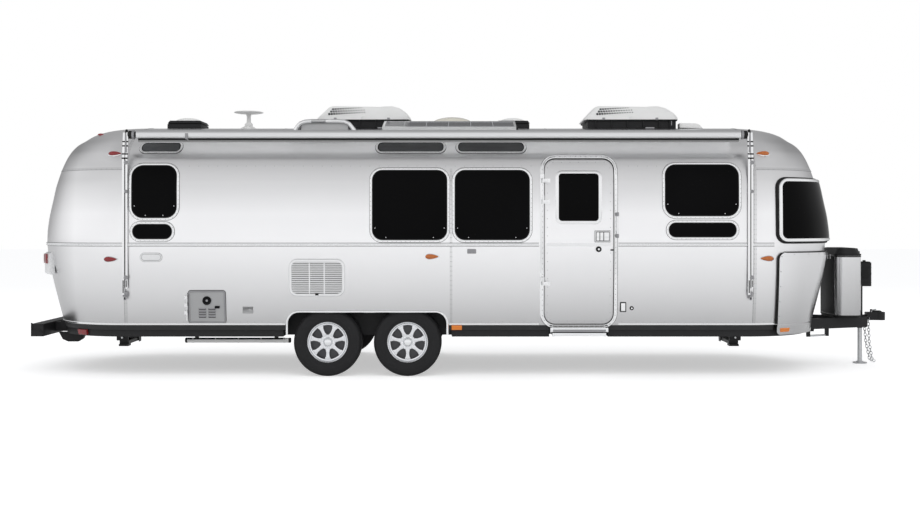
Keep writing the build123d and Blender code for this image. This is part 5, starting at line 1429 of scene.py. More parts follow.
def teardrop(bm, middle, out, length, height, depth, pointed=1):
    """Half-domed drop on the skin, blunt at one end and pointed at the other."""
    up = out.cross(FORWARD).normalized()

    def place(x, y, z):
        taper = 1 - 0.42 * x
        spot = middle + FORWARD * (x * pointed * length / 2) + up * (y * taper * height / 2)
        return spot + out * (max(z, -0.15) * depth)

    blob(bm, 24, place)


MARKERS = [
    (-3.855, 1.240, "red", 1), (-0.480, 1.268, "amber", 1), (3.032, 1.248, "amber", -1),
    (-3.842, 2.353, "red", 1), (3.020, 2.355, "amber", -1)]
reds, ambers, bases = bmesh.new(), bmesh.new(), bmesh.new()
for x, z, colour, pointed in MARKERS:
    for side in (1, -1):
        point, out = on_side(x + 0.070, z, 0.0, side)
        teardrop(bases, point, out, 0.156, 0.060, 0.014, pointed)
        lens_middle = point + out * 0.006 - Vector((0.003 * pointed, 0, 0))
        teardrop(reds if colour == "red" else ambers, lens_middle, out, 0.138, 0.050, 0.026, pointed)
piece("marker_bases", bases, bright)


def end_run(side, first, last, height):
    """Level stations on the rear end between two distances from the middle."""
    spots = [on_end(side * y, height) for y in spaced(first, last, 8)]
    return [(point, UP, out) for point, out in spots]


tails, housings = bmesh.new(), bmesh.new()
for side in (1, -1):
    for lens, z0, z1 in ((tails, 1.085, 1.180), (reds, 1.190, 1.295)):
        half = (z1 - z0) / 2
        sweep(lens, end_run(side, 0.712, 0.866, (z0 + z1) / 2), [
            (-half, 0.03), (half, 0.03), (half, 0.050), (half - 0.008, 0.056), (0.008 - half, 0.056),
            (-half, 0.050)])
    sweep(housings, end_run(side, 0.698, 0.932, 1.190), [
        (-0.121, -0.003), (0.121, -0.003), (0.119, 0.032), (0.110, 0.047), (0.096, 0.052), (-0.096, 0.052),
        (-0.110, 0.047), (-0.119, 0.032)])
piece("red_lenses", reds, lens_red, replaces=["lamps"])
piece("amber_lenses", ambers, lens_amber)
white_plastic = painted(
    "white_plastic", (0.80, 0.80, 0.79), 0.35, slot="white_plastic", grain_scale=350, grain=0.0003,
    mottle=0.03)
piece("tail_lenses", tails, white_plastic, slot="lamp_lens")
piece("tail_housings", housings, louvre_metal)

# ---------------- air conditioners
# Moulded white plastic shrouds over black steel pans, clamped down through the roof;
# rows of round air holes shrink towards the front.
AC_REARS = (-1.740, 1.288)
AC_FOOT = 2.790
AC_WALL = 0.040            # height of the upright lower edge
AC_LEAN = 0.5              # how far the sides draw in, per unit of height
AC_HALF = 0.350
AC_CORNER = 0.060          # radius of the shroud's corners, seen from above
AC_CREST, AC_FLANK = 0.40, 0.30     # how square the cross-section is at its top and its sides
AC_SHAPE = [
    (0.0, 0.0), (0.008, 0.018), (0.130, 0.150), (0.150, 0.163), (0.180, 0.1675), (0.600, 0.160),
    (0.840, 0.156), (0.930, 0.132), (1.005, 0.080), (1.050, 0.030), (1.062, 0.0)]
AC_BULGE = [
    (0.470, 0.0), (0.520, 0.070), (0.580, 0.118), (0.660, 0.148), (0.750, 0.163), (0.850, 0.166),
    (0.935, 0.142), (1.010, 0.088), (1.054, 0.034), (1.061, 0.0)]


def roof_height(y):
    """Height of the roof skin at a distance from the middle."""
    return CROWN_CENTRE + math.sqrt(CROWN * CROWN - y * y)


def height_along(outline, x):
    """Height of a side outline at a distance forward of its rear end."""
    for (x0, z0), (x1, z1) in zip(outline, outline[1:]):
        if x <= x1:
            return z0 + (z1 - z0) * (x - x0) / (x1 - x0)
    return outline[-1][1]


def shroud_side(outline, half, x, height):
    """Distance of the shroud's side from its middle at a place along it and a height."""
    first, last = outline[0][0], outline[-1][0]
    top = max(height_along(outline, x), 1e-4)
    width = half - corner_in(min(x - first, last - x), AC_CORNER)
    rise = min(1.0, height / top) ** (1 / AC_CREST)
    width *= math.sqrt(max(0.0, 1 - rise * rise)) ** AC_FLANK
    return width * (1 - AC_LEAN * max(0.0, height - AC_WALL) / half)


def shroud(bm, rear, outline, half):
    """Moulded shell under a side outline: upright edge, sides drawn in, crest rounded over."""
    first, last = outline[0][0], outline[-1][0]
    places = eased(first, last, AC_CORNER, 26)
    rows = 30

    def place(i, j):
        x = places[i]
        angle = math.pi * j / rows
        top = max(height_along(outline, x), 1e-4)
        height = top * math.sin(angle) ** AC_CREST
        width = half - corner_in(min(x - first, last - x), AC_CORNER)
        across = abs(math.cos(angle)) ** AC_FLANK * width * (
            1 - AC_LEAN * max(0.0, height - AC_WALL) / half)
        return Vector((rear + x, math.copysign(across, math.cos(angle)), AC_FOOT + height))

    before = set(bm.edges)
    mapped_grid(bm, len(places) - 1, rows, place, 1e-5)
    fill_ends(bm, before)


bm, holes = bmesh.new(), bmesh.new()
for rear in AC_REARS:
    shroud(bm, rear, AC_SHAPE, AC_HALF)
    shroud(bm, rear, AC_BULGE, AC_HALF + 0.003)
    for side in (1, -1):
        for first, height, count in ((0.185, 0.118, 12), (0.165, 0.090, 14), (0.145, 0.062, 15)):
            for index in range(count):
                share = index / count
                x = first + 0.0285 * index
                z = height + 0.020 * share
                radius = 0.0125 * (1 - 0.60 * share)
                y = side * shroud_side(AC_SHAPE, AC_HALF, x, z)
                out = Vector((0, side, AC_LEAN)).normalized()
                lathe(holes, oblong(0.0, radius, -0.010, 0.004), (rear + x, y, AC_FOOT + z), out, 10)
piece("ac_shrouds", bm, white_plastic, replaces=["ac_covers"], crease=40)
# dark discs in the air holes: painted shade
piece("ac_air_holes", holes, opening_shade)
bm = bmesh.new()
for rear in AC_REARS:
    slab(
        bm, rear + 0.040, rear + 1.040, -0.318, 0.318, roof_height(0.318) - 0.02, AC_FOOT + 0.002, 0.022, 4)
    slab(bm, rear + 0.024, rear + 1.050, -0.332, 0.332, AC_FOOT - 0.016, AC_FOOT + 0.002, 0.006)
    for side in (1, -1):
        for x in (0.12, 0.30, 0.48, 0.66, 0.84, 0.96):
            y = side * 0.324
            slab(bm, rear + x, rear + x + 0.014, y - 0.010, y + 0.010, 2.700, AC_FOOT - 0.010, 0.002)
black_plastic = painted(
    "black_plastic", (0.012, 0.012, 0.013), 0.48, slot="black_plastic", grain_scale=380, grain=0.0006,
    Specular_IOR_Level=0.22)
piece("ac_pans", bm, black_plastic, replaces=["roof_bases"])
bm = bmesh.new()
for rear in AC_REARS:
    slab(bm, rear + 0.690, rear + 0.790, -0.340, -0.312, 2.688, 2.704, 0.003)
    bar(bm, (rear + 0.985, -0.324, 2.725), (rear + 0.985, -0.324, 2.775), 0.006, sides=12)
    for side in (1, -1):
        for x in (0.20, 0.80):
            y = side * 0.353
            slab(
                bm, rear + x, rear + x + 0.030, y - 0.004, y + 0.004, AC_FOOT - 0.006, AC_FOOT + 0.020,
                0.002)
piece("ac_clips", bm, latch_grey)
bm = bmesh.new()
plate(
    bm, [(2.372, -0.290, 2.700), (2.640, -0.290, 2.690), (2.600, -0.290, 2.735), (2.565, -0.290, 2.752),
    (2.372, -0.290, 2.756)], (0, 0.140, 0))
long_edges = [edge for edge in bm.edges if edge.calc_length() > 0.02]
bmesh.ops.bevel(
    bm, geom=long_edges, offset=0.010, segments=3, profile=0.5, affect="EDGES", material=-1,
    clamp_overlap=True)
piece("plumbing_vent", bm, white_plastic, crease=50)

# ---------------- roof vents, skylight and antenna
# Smoked lids with pale domes over black frames, hinged at the rear; an acrylic skylight
# dome on a tan ring; a flat white antenna on a ribbed mast foot.
VENT_SIZES = {"rear": (-3.458, -3.069, 0.195), "front": (0.296, 0.674, 0.190)}
LID_SEAT = 2.752
VENT_WALL = 0.030
SCREEN_WIRES = 19
bm, screens = bmesh.new(), bmesh.new()
for name, (rear, front, half) in VENT_SIZES.items():
    low = roof_height(half) - 0.02
    inner = half - VENT_WALL
    for y0 in (-half, inner):
        slab(bm, rear, front, y0, y0 + VENT_WALL, low, LID_SEAT, 0.004)
    for x0 in (rear, front - VENT_WALL):
        slab(bm, x0, x0 + VENT_WALL, -inner, inner, low, LID_SEAT, 0.004)
    pin_x, pin_z = rear - 0.008, LID_SEAT + 0.014
    for y in (-0.090, 0.076):
        slab(bm, rear - 0.016, rear - 0.004, y, y + 0.014, LID_SEAT - 0.02, pin_z, 0.002)
        bar(bm, (pin_x, y, pin_z), (pin_x, y + 0.014, pin_z), 0.008)
    bar(bm, (pin_x, -0.080, pin_z), (pin_x, 0.080, pin_z), 0.005)
    x0, x1 = rear + VENT_WALL, front - VENT_WALL
    for index in range(SCREEN_WIRES):
        share = (index + 0.5) / SCREEN_WIRES
        x, y = x0 + (x1 - x0) * share, 2 * inner * (share - 0.5)
        bar(screens, (x, -inner, 2.715), (x, inner, 2.715), 0.0012, sides=6)
        bar(screens, (x0, y, 2.718), (x1, y, 2.718), 0.0012, sides=6)
    slab(screens, x0, x1, -inner, inner, 2.690, 2.694)
    lid = bmesh.new()
    made = slab(
        lid, rear + 0.002, front + 0.006, -half - 0.006, half + 0.006, LID_SEAT + 0.006, LID_SEAT + 0.040)
    for vert in made:
        if vert.is_valid and vert.co.z > LID_SEAT + 0.03:
            vert.co.x += 0.022 if vert.co.x < (rear + front) / 2 else -0.022
            vert.co.y *= 0.90
    soft_edges(lid, list(lid.edges), 0.006, 3)
    bar(lid, (pin_x, -0.060, pin_z), (pin_x, 0.060, pin_z), 0.009)
    slab(lid, pin_x, rear + 0.020, -0.060, 0.060, pin_z - 0.004, pin_z + 0.009, 0.002)
    piece(f"vent_lid_{name}_frame", lid, black_plastic, f"{name}_vent_lid", [f"vent_lid_{name}"])
    dome = bmesh.new()
    dome_x, dome_half = (rear + front) / 2 + 0.004, half - 0.040
    blob(dome, 36, lambda x, y, z: (dome_x + x * 0.150, y * dome_half, LID_SEAT + 0.036 + z * 0.046))
    piece(f"vent_dome_{name}", dome, white_plastic, f"{name}_vent_lid")
piece("vent_frames", bm, black_plastic)
piece("vent_screens", screens, latch_grey, slot="grey_panel")

SKYLIGHT = (-0.208, 0.235, 0.260, 2.766)
tan_plastic = painted("tan_plastic", (0.50, 0.46, 0.34), 0.45, slot="tan_plastic", grain_scale=350)
acrylic = Finish(
    "dome_acrylic", (0.80, 0.77, 0.67), 0.12, 0.0, slot="white_plastic", Alpha=0.72, Coat_Weight=0.2)
acrylic.feed("Roughness", acrylic.noise(8, 3) * 0.06 + 0.09)
middle, long_half, wide_half, ring_top = SKYLIGHT
bm = bmesh.new()
slab(bm, middle - 0.273, middle + 0.273, -0.300, 0.300, roof_height(0.30) - 0.02, 2.752, 0.010)
slab(bm, middle - 0.250, middle + 0.250, -0.280, 0.280, 2.750, ring_top, 0.010, 3)
piece("skylight_ring", bm, tan_plastic)
bm = bmesh.new()
blob(
    bm, 48, lambda x, y, z: (middle + x * long_half, y * wide_half, ring_top - 0.002 + max(z, 0.0) * 0.079))
piece("skylight_dome", bm, acrylic, replaces=["skylight"])

MAST = Vector((-2.563, 0.0, 0.0))
bm = bmesh.new()
lathe(
    bm, [(0.0, 2.918), (0.080, 2.916), (0.150, 2.909), (0.168, 2.902), (0.166, 2.896), (0.130, 2.888),
    (0.060, 2.881), (0.0, 2.880)], MAST, UP, 56)
lathe(
    bm, [(0.0, 2.885), (0.030, 2.885), (0.027, 2.862), (0.022, 2.850), (0.024, 2.790), (0.032, 2.776),
    (0.034, 2.764), (0.0, 2.764)], MAST, UP, 32)
lathe(
    bm, [(0.0, 2.770), (0.044, 2.770), (0.046, 2.750), (0.038, 2.735), (0.050, 2.716), (0.062, 2.690),
    (0.0, 2.690)], MAST, UP, 32)
for turn in range(4):
    angle = math.radians(45 + 90 * turn)
    out = Vector((math.cos(angle), math.sin(angle), 0))
    across = Vector((-out.y, out.x, 0))
    near, far = MAST + out * 0.035, MAST + out * 0.128
    foot = [(near, 2.752), (near, 2.695), (far, 2.695), (far, 2.702)]
    plate(bm, [point + UP * z - across * 0.006 for point, z in foot], across * 0.012)
    slab(bm, far.x - 0.024, far.x + 0.014, far.y - 0.018, far.y + 0.018, 2.690, 2.701, 0.003)
piece("antenna_mast", bm, white_plastic, replaces=["antenna"], crease=40)

# ---------------- roof cover and solar panels
# A bent aluminium wind cover with rolled edges, and two framed solar panels clamped to
# the roof on black feet, tilted with its curve.
COVER_LINE = [
    (-1.917, 2.600), (-1.885, 2.662), (-1.850, 2.700), (-1.800, 2.720), (-1.730, 2.726), (-1.440, 2.726),
    (-1.370, 2.720), (-1.322, 2.698), (-1.288, 2.656), (-1.255, 2.600)]


def wire(bm, points, radius, sides):
    """Round bars from point to point, with a ball at each joint."""
    for start, end in zip(points, points[1:]):
        bar(bm, start, end, radius, sides=sides)
        made = bmesh.ops.create_uvsphere(bm, u_segments=sides, v_segments=sides // 2, radius=radius)
        bmesh.ops.translate(bm, verts=made["verts"], vec=end)


bm = bmesh.new()
for y, radius in ((-0.878, 0.022), (-0.622, 0.018)):
    wire(bm, [(x, y, z) for x, z in COVER_LINE], radius, 20)
piece("cover_rails", bm, bright, replaces=["roof_cover"], crease=50)
# the aluminium sheet between the rails takes grey paint: painted shade on its inner face
bm = bmesh.new()
stations = [(Vector((x, -0.750, z - 0.006)), Vector((0, 1, 0)), UP) for x, z in COVER_LINE]
sweep(bm, stations, oblong(-0.128, 0.128, -0.010, 0.002))
slab(bm, -1.840, -1.330, -0.866, -0.858, 2.560, 2.706, 0.003)
piece("cover_sheet_shade", bm, hatch_paint, slot="polished_skin")

cells = Finish("solar_cells", (0.010, 0.012, 0.020), 0.20, 0.0, slot="solar_cell")
CELL_PITCH = 0.122
fold_x, fold_y = (cells.axis(index).join(CELL_PITCH, "PINGPONG") for index in (0, 1))
edge = fold_x.join(fold_y, "MINIMUM")
cells.feed("Base Color", cells.blend(edge > 0.003, (0.42, 0.43, 0.45), (0.009, 0.011, 0.019)))
SOLAR_LONG, SOLAR_WIDE, SOLAR_RAIL = 0.732, 0.210, 0.026        # half sizes, width of the frame
SOLAR_X, SOLAR_Y, SOLAR_Z = -0.234, 0.610, 2.700
frames, faces, feet = bmesh.new(), bmesh.new(), bmesh.new()
for side in (1, -1):
    tilt = Matrix.Rotation(math.radians(-13.5 * side), 4, "X")
    turn = Matrix.Translation((SOLAR_X, side * SOLAR_Y, SOLAR_Z)) @ tilt
    face_x, face_y = SOLAR_LONG - SOLAR_RAIL, SOLAR_WIDE - SOLAR_RAIL
    for y0 in (-SOLAR_WIDE, face_y):
        made = slab(frames, -SOLAR_LONG, SOLAR_LONG, y0, y0 + SOLAR_RAIL, -0.018, 0.018)
        bmesh.ops.transform(frames, matrix=turn, verts=made)
    for x0 in (-SOLAR_LONG, face_x):
        made = slab(frames, x0, x0 + SOLAR_RAIL, -face_y, face_y, -0.018, 0.018)
        bmesh.ops.transform(frames, matrix=turn, verts=made)
    made = slab(faces, -face_x, face_x, -face_y, face_y, 0.006, 0.014)
    bmesh.ops.transform(faces, matrix=turn, verts=made)
    for x in (-0.666, 0.0, 0.654):
        for y in (-0.185, 0.185):
            base = turn @ Vector((x, y, -0.016))
            slab(feet, base.x - 0.020, base.x + 0.020, base.y - 0.018, base.y + 0.018,
                 roof_height(abs(base.y)) - 0.012, base.z + 0.004, 0.003)
    clamp = turn @ Vector((0.740, side * 0.200, 0.0))
    slab(feet, clamp.x - 0.012, clamp.x + 0.010, clamp.y - 0.020, clamp.y + 0.020, clamp.z - 0.060,
         clamp.z + 0.022, 0.003)
piece("solar_frames", frames, bright, replaces=["solar_panels"])
piece("solar_faces", faces, cells)
piece("solar_feet", feet, black_plastic)

# ---------------- awning
# The canvas is rolled on an aluminium tube under a curved metal weather cover; the roller
# hangs between two pairs of fold-down arms, and the canvas runs up to a track on the shoulder.
ROLL_Y, ROLL_Z, ROLL_RADIUS = -1.255, 2.550, 0.050
ROLL_ENDS = (-3.516, 2.830)
canvas = Finish(
    "awning_canvas", (0.66, 0.66, 0.65), 0.75, 0.0, "canvas", Sheen_Weight=0.2, Subsurface_Weight=0.8,
    Subsurface_Scale=0.01, Subsurface_Radius=(1, 1, 1))
weave = canvas.node(
    "ShaderNodeTexWave", {"wave_type": "BANDS", "bands_direction": "X"},
    {"Vector": canvas.place, "Scale": 420.0, "Distortion": 0.4})
canvas.feed(
    "Base Color", canvas.blend(canvas.noise(5, 4, (0.3, 1, 1)), (0.72, 0.72, 0.71), (0.84, 0.84, 0.83)))
canvas.bump(weave, 0.25, 0.0005)
# grey for the hem under the roller: painted shade
roller_shade_grey = painted("roller_shade_grey", (0.30, 0.30, 0.30), 0.7, slot="canvas", grain_scale=420, grain=0.0004)
weather_metal = painted(
    "weather_cover", (0.74, 0.745, 0.75), 0.30, 1.0, slot="bright_trim", mottle=0.05, stretch=(0.1, 1, 1),
    scale=4, grain=0)


def roll_run(margin):
    """Stations along the roll's axis, its ends held in by a margin."""
    xs = spaced(ROLL_ENDS[0] + margin, ROLL_ENDS[1] - margin, 24)
    return [(Vector((x, ROLL_Y, ROLL_Z)), UP, OUT_RIGHT) for x in xs]


def roll_arc(radius, first, turn):
    """Arc of the curved cover's cross-section, in degrees from the top."""
    angles = [math.radians(first + turn * step / 25) for step in range(26)]
    return [(radius * math.sin(angle), radius * math.cos(angle)) for angle in angles]


bm = bmesh.new()
sweep(bm, roll_run(0.0), roll_arc(ROLL_RADIUS, -150, 315) + roll_arc(ROLL_RADIUS - 0.003, 165, -315))
sweep(bm, roll_run(0.0), [
    (-0.028, 0.038), (-0.022, 0.042), (-0.024, 0.049), (-0.031, 0.046), (-0.033, 0.040)])
piece("awning_weather_cover", bm, weather_metal, replaces=["awning_roller"], crease=50)
bm = bmesh.new()
roll_first, roll_last = ROLL_ENDS[0] + 0.004, ROLL_ENDS[1] - 0.004
lathe(
    bm, oblong(0.0, ROLL_RADIUS - 0.006, 0.0, roll_last - roll_first), (roll_first, ROLL_Y, ROLL_Z),
    (1, 0, 0), 40)
piece("awning_roll", bm, canvas)
# black strip under the roller that also stands for the shadow there; the grey hem below it is painted shade
VALANCE_AND_SHADOW = [
    (-0.043, 0.022), (-0.040, 0.032), (-0.052, 0.034), (-0.066, 0.033), (-0.067, 0.030), (-0.052, 0.028)]
HEM_SHADE = [(-0.062, 0.026), (-0.062, 0.034), (-0.072, 0.032), (-0.080, 0.027), (-0.079, 0.022), (-0.070, 0.023)]
for name, finish, profile in (("awning_valance_and_shadow", seal, VALANCE_AND_SHADOW), ("awning_hem_shade", roller_shade_grey, HEM_SHADE)):
    bm = bmesh.new()
    sweep(bm, roll_run(0.02), profile)
    piece(name, bm, finish)
CANVAS_WIDTH, CANVAS_REAR = 6.25, -3.46
CANVAS_ROLL, CANVAS_TRACK = Vector((0, -1.228, 2.5945)), Vector((0, -0.945, 2.5445))
CANVAS_COLUMNS, CANVAS_ROWS = 80, 10


def canvas_spot(i, j):
    """Point of the stretch of canvas between the roll and the track, a little slack."""
    share = j / CANVAS_ROWS
    slack = math.sin(math.pi * share)
    spot = CANVAS_ROLL.lerp(CANVAS_TRACK, share)
    lift = 0.0012 * math.sin(i * 1.9) * slack - 0.006 * slack
    return spot + Vector((CANVAS_REAR + CANVAS_WIDTH * i / CANVAS_COLUMNS, 0, lift))


bm = bmesh.new()
mapped_grid(bm, CANVAS_COLUMNS, CANVAS_ROWS, canvas_spot, 0)
bmesh.ops.solidify(bm, geom=list(bm.faces), thickness=0.0012)
sheet = piece("awning_canvas", bm, canvas, crease=60)
bm = bmesh.new()
sweep(bm, level_run(2.523, -1, -3.540, 2.850, 40), [
    (-0.012, -0.003), (0.011, -0.003), (0.011, 0.003), (0.006, 0.010), (-0.003, 0.010), (-0.012, 0.004)])
piece("awning_tracks", bm, bright)

# arms: an outer and an inner channel side by side, elbows, end castings and wall feet
ARM_TOP, ARM_FOOT, ELBOW_Z, ARM_FACE = 2.30, 0.868, 1.05, -1.3125
HUB = [(0.0, -0.012), (0.046, -0.012), (0.048, -0.006), (0.048, 0.010), (0.040, 0.016), (0.0, 0.016)]
COLLAR = [(0.0, -0.020), (0.040, -0.020), (0.043, -0.014), (0.043, 0.014), (0.040, 0.020), (0.0, 0.020)]
arms, joints, black_bits = bmesh.new(), bmesh.new(), bmesh.new()
for middle, inward in ((-3.630, 1), (2.928, -1)):
    # outer and inner channel: edges from the middle line, face and foot
    for near, far, face, foot in (
            (-0.028, -0.005, ARM_FACE, ARM_FOOT), (0.006, 0.027, ARM_FACE + 0.003, 0.93)):
        x0, x1, back = middle + near, middle + far, face + 0.015
        outline = [
            (face, foot), (face, ARM_TOP), (ROLL_Y - 0.022, ROLL_Z + 0.022),
            (ROLL_Y - 0.004, ROLL_Z + 0.016), (back, ARM_TOP), (back, foot)]
        plate(arms, [(x0, y, z) for y, z in outline], (x1 - x0, 0, 0))
        # dark strip down each channel's face: painted shade in its hollow
        slab(black_bits, x0 + 0.006, x1 - 0.006, face - 0.0012, face + 0.004, foot + 0.02, ELBOW_Z - 0.03)
    # dark strip in the gap between the two channels: painted shade
    slab(
        black_bits, middle - 0.008, middle + 0.009, ARM_FACE + 0.005, ARM_FACE + 0.013, ARM_FOOT + 0.07,
        ARM_TOP)
    for z, radius in ((ELBOW_Z, 0.022), (1.952, 0.018), (2.255, 0.021)):
        lathe(joints, button(radius, 0.008, radius - 0.005, 0.012), (middle + 0.012, ARM_FACE + 0.004, z),
              OUT_RIGHT, 24)
    lathe(joints, HUB, (middle + inward * 0.078, ROLL_Y, ROLL_Z), FORWARD, 32)
    lathe(black_bits, COLLAR, (middle + inward * 0.046, ROLL_Y, ROLL_Z), FORWARD, 32)
    for z in (2.300, 2.345, 2.430, 2.475):
        lean = ARM_FACE + (z - ARM_TOP) * 0.15
        bar(black_bits, (middle - 0.030, lean, z), (middle + 0.030, lean, z), 0.008, sides=12)
    near, far = middle + inward * 0.02, middle + inward * 0.120
    bar(black_bits, (near, ROLL_Y, ROLL_Z), (far, ROLL_Y, ROLL_Z), 0.030)
    bar(
        black_bits, (middle, ROLL_Y - 0.006, ROLL_Z + 0.018), (middle, ROLL_Y + 0.020, ROLL_Z + 0.050),
        0.014)
    bar(joints, (middle, ROLL_Y - 0.014, ROLL_Z + 0.012), (middle + inward * 0.010, -1.302, 2.36), 0.012)
    for low, high in ((0.848, 0.900), (1.985, 2.035)):
        back = wall_y((low + high) / 2, -0.004)
        slab(joints, middle - 0.026, middle + 0.026, ARM_FACE + 0.014, back, low, high, 0.004)
    slab(joints, middle - 0.012, middle + 0.012, -1.314, -1.296, 0.812, 0.862, 0.005)
    slab(black_bits, middle - 0.006, middle + 0.006, -1.3155, -1.300, 0.820, 0.842, 0.001)
piece("awning_arm_channels", arms, bright, replaces=["awning_arms"])
piece("awning_arm_joints", joints, latch_grey)
piece("awning_arm_slots", black_bits, seal)
bm = bmesh.new()
slab(bm, -3.000, -2.968, -1.314, -1.296, ROLL_Z - 0.050, ROLL_Z + 0.012, 0.004)
bar(bm, (-2.984, -1.306, ROLL_Z - 0.046), (-2.962, -1.312, ROLL_Z - 0.064), 0.005, sides=12)
piece("awning_clip", bm, latch_grey)

# ---------------- skirt, reflectors and under-body fittings
# A grey rubber flap closes the gap between shell and belly pan; moulded reflectors, the
# sewer-hose tube, jack screws and bolted plates hang below it.
grey_rubber = painted(
    "grey_rubber", (0.030, 0.030, 0.031), 0.55, slot="black_plastic", grain_scale=300, grain=0.0006,
    Specular_IOR_Level=0.25)
galvanised = painted(
    "galvanised", (0.55, 0.56, 0.57), 0.38, 0.9, slot="galvanised", mottle=0.18, scale=40, grain=0.0003)
cad_finish(galvanised, "jack_leg", "step_arms")
SKIRT_REAR, SKIRT_FRONT = [(None, -1.950)], [(-0.245, 3.205)]
SKIRT_AT_DOOR = [(-0.245, 0.828), (1.446, 3.205)]


def skirt_run(side, rear, front, steps):
    """Stations along the lower edge of the skin between two X places, their across direction upwards."""
    first = 0 if rear is None else way_of_x(rear, 0)
    rows = level_stations(SKIRT + 1e-4, side, first, way_of_x(front, 0), steps)
    return [(point, -across if across.z < 0 else across, out) for point, across, out in rows]


bm = bmesh.new()
for side, runs in ((-1, SKIRT_REAR + SKIRT_AT_DOOR), (1, SKIRT_REAR + SKIRT_FRONT)):
    for rear, front in runs:
        sweep(bm, skirt_run(side, rear, front, 48), [
            (-0.056, -0.016), (-0.002, -0.016), (-0.002, -0.003), (-0.056, -0.008)])
piece("skirt_flap", bm, grey_rubber)
reds, ambers = bmesh.new(), bmesh.new()
# bmesh, rear and front end, lower and upper edge, back and face of each reflector
REFLECTORS = [
    (ambers, -0.206, -0.098, -0.052, -0.004, -0.018, 0.007, 0.005), (reds, -4.221, -4.103, -0.118, -0.062,
    -0.018, 0.007, 0.005), (ambers, 3.262, 3.372, -0.076, -0.030, 0.014, 0.040, 0.004)]
girth = girth_at(2.600)
for side in (1, -1):
    for made, x0, x1, low, high, back, face, ease in REFLECTORS:
        sweep(made, skirt_run(side, x0, x1, 6), [
            (low, back), (high, back), (high, face - 0.004), (high - ease, face), (low + ease, face),
            (low, face - 0.004)])
    point, out = on_skin(way_of_x(-4.100, girth), girth, 0, side)
    teardrop(reds, point, out, 0.075, 0.034, 0.016)
piece("red_reflectors", reds, lens_red)
reflector_amber = painted(
    "reflector_amber", (0.86, 0.24, 0.03), 0.3, slot="lamp_lens", mottle=0.06, grain_scale=700)
piece("amber_reflectors", ambers, reflector_amber)
HOSE_REAR, HOSE_FRONT, HOSE_Y, HOSE_Z, HOSE_RADIUS = -3.035, -1.945, -1.050, 0.368, 0.0255
bm = bmesh.new()
lathe(
    bm, oblong(HOSE_RADIUS - 0.003, HOSE_RADIUS, 0.0, HOSE_FRONT - HOSE_REAR), (HOSE_REAR, HOSE_Y, HOSE_Z),
    FORWARD, 32)
for x in spaced(HOSE_REAR + 0.06, HOSE_FRONT - 0.06, 4):
    lathe(bm, oblong(HOSE_RADIUS, HOSE_RADIUS + 0.002, 0.0, 0.010), (x, HOSE_Y, HOSE_Z), FORWARD, 32)
piece("hose_tube", bm, white_plastic)
BRACKET = [
    (-4.732, 0.402), (-4.732, 0.548), (-4.716, 0.548), (-4.716, 0.470), (-4.640, 0.470), (-4.600, 0.430),
    (-4.600, 0.402)]
caps, bolts = bmesh.new(), bmesh.new()
for x, along in ((HOSE_REAR, -1), (HOSE_FRONT, 1)):
    lathe(
        caps, button(HOSE_RADIUS + 0.002, 0.018, HOSE_RADIUS - 0.004, 0.024),
        (x - along * 0.004, HOSE_Y, HOSE_Z), (along, 0, 0), 32)
for side in (1, -1):
    plate(caps, [(x, side * 0.976, z) for x, z in BRACKET], (0, side * 0.006, 0))
for side in (1, -1):
    for y in (0.18, 0.62, 0.90):
        bar(bolts, (-4.732, side * y, 0.470), (-4.740, side * y, 0.470), 0.016, sides=6)
        bar(bolts, (-4.738, side * y, 0.470), (-4.744, side * y, 0.470), 0.008, sides=12)
    slab(caps, -4.7335, -4.728, side * 0.40 - 0.09, side * 0.40 + 0.09, 0.425, 0.515, 0.003)
    for x in (-3.743, 2.835):
        bar(bolts, (x, side * 0.985, 0.392), (x, side * 1.020, 0.392), 0.011, sides=6)
piece("under_caps", caps, chassis_paint)
piece("under_bolts", bolts, galvanised)
bm = bmesh.new()
for side in (1, -1):
    bar(bm, (3.780, side * 0.392, 0.352), (4.060, side * 0.276, 0.352), 0.011)
piece("frame_cable_tray", bm, galvanised)
bm = bmesh.new()
for side in (1, -1):
    for x, y in ((3.800, 0.384), (4.040, 0.284)):
        slab(bm, x - 0.020, x + 0.020, side * y - 0.020, side * y + 0.020, 0.342, 0.432, 0.003)
piece("frame_tray_hangers", bm, chassis_paint)

# ---------------- gas bottles, jack and coupler
# Two gas bottles stand under a bright sheet cover with a hinged black lid; an electric
# jack with a moulded head stands between them and the stamped coupler.
gas_paint = painted("gas_paint", (0.78, 0.78, 0.76), 0.4, slot="gas_paint", mottle=0.05, grain=0.0003)
cad_finish(steel, "gas_cover")
cad_finish(black_plastic, "jack_body")
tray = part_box("gas_bottles")[0][2]
GAS_MIDDLE, BOTTLE_OUT = 4.286, 0.160
BOTTLE = [
    (0.0, tray), (0.110, tray), (0.114, 0.575), (0.132, 0.590), (0.138, 0.620), (0.138, 0.960),
    (0.128, 1.010), (0.098, 1.045), (0.050, 1.060), (0.026, 1.062), (0.026, 1.090), (0.018, 1.110),
    (0.0, 1.110)]
COLLAR_RING = [(0.056, 1.046), (0.060, 1.046), (0.060, 1.156), (0.063, 1.160), (0.056, 1.160)]
bm = bmesh.new()
for side in (1, -1):
    y = side * BOTTLE_OUT
    lathe(bm, BOTTLE, (GAS_MIDDLE, y, 0), UP, 48)
    lathe(bm, COLLAR_RING, (GAS_MIDDLE, y, 0), UP, 36)
    bar(bm, (GAS_MIDDLE, y, 1.100), (GAS_MIDDLE + 0.040, y, 1.100), 0.010)
piece("gas_cylinders", bm, gas_paint, replaces=["gas_bottles"])


def plan_ring(x0, x1, y0, y1, radius, z):
    """Sweep stations level round a round-cornered box."""
    return [
        (Vector((x, y, z)), UP, Vector((ax, ay, 0))) for x, y, ax, ay in ring(x0, x1, y0, y1, radius, 9)]


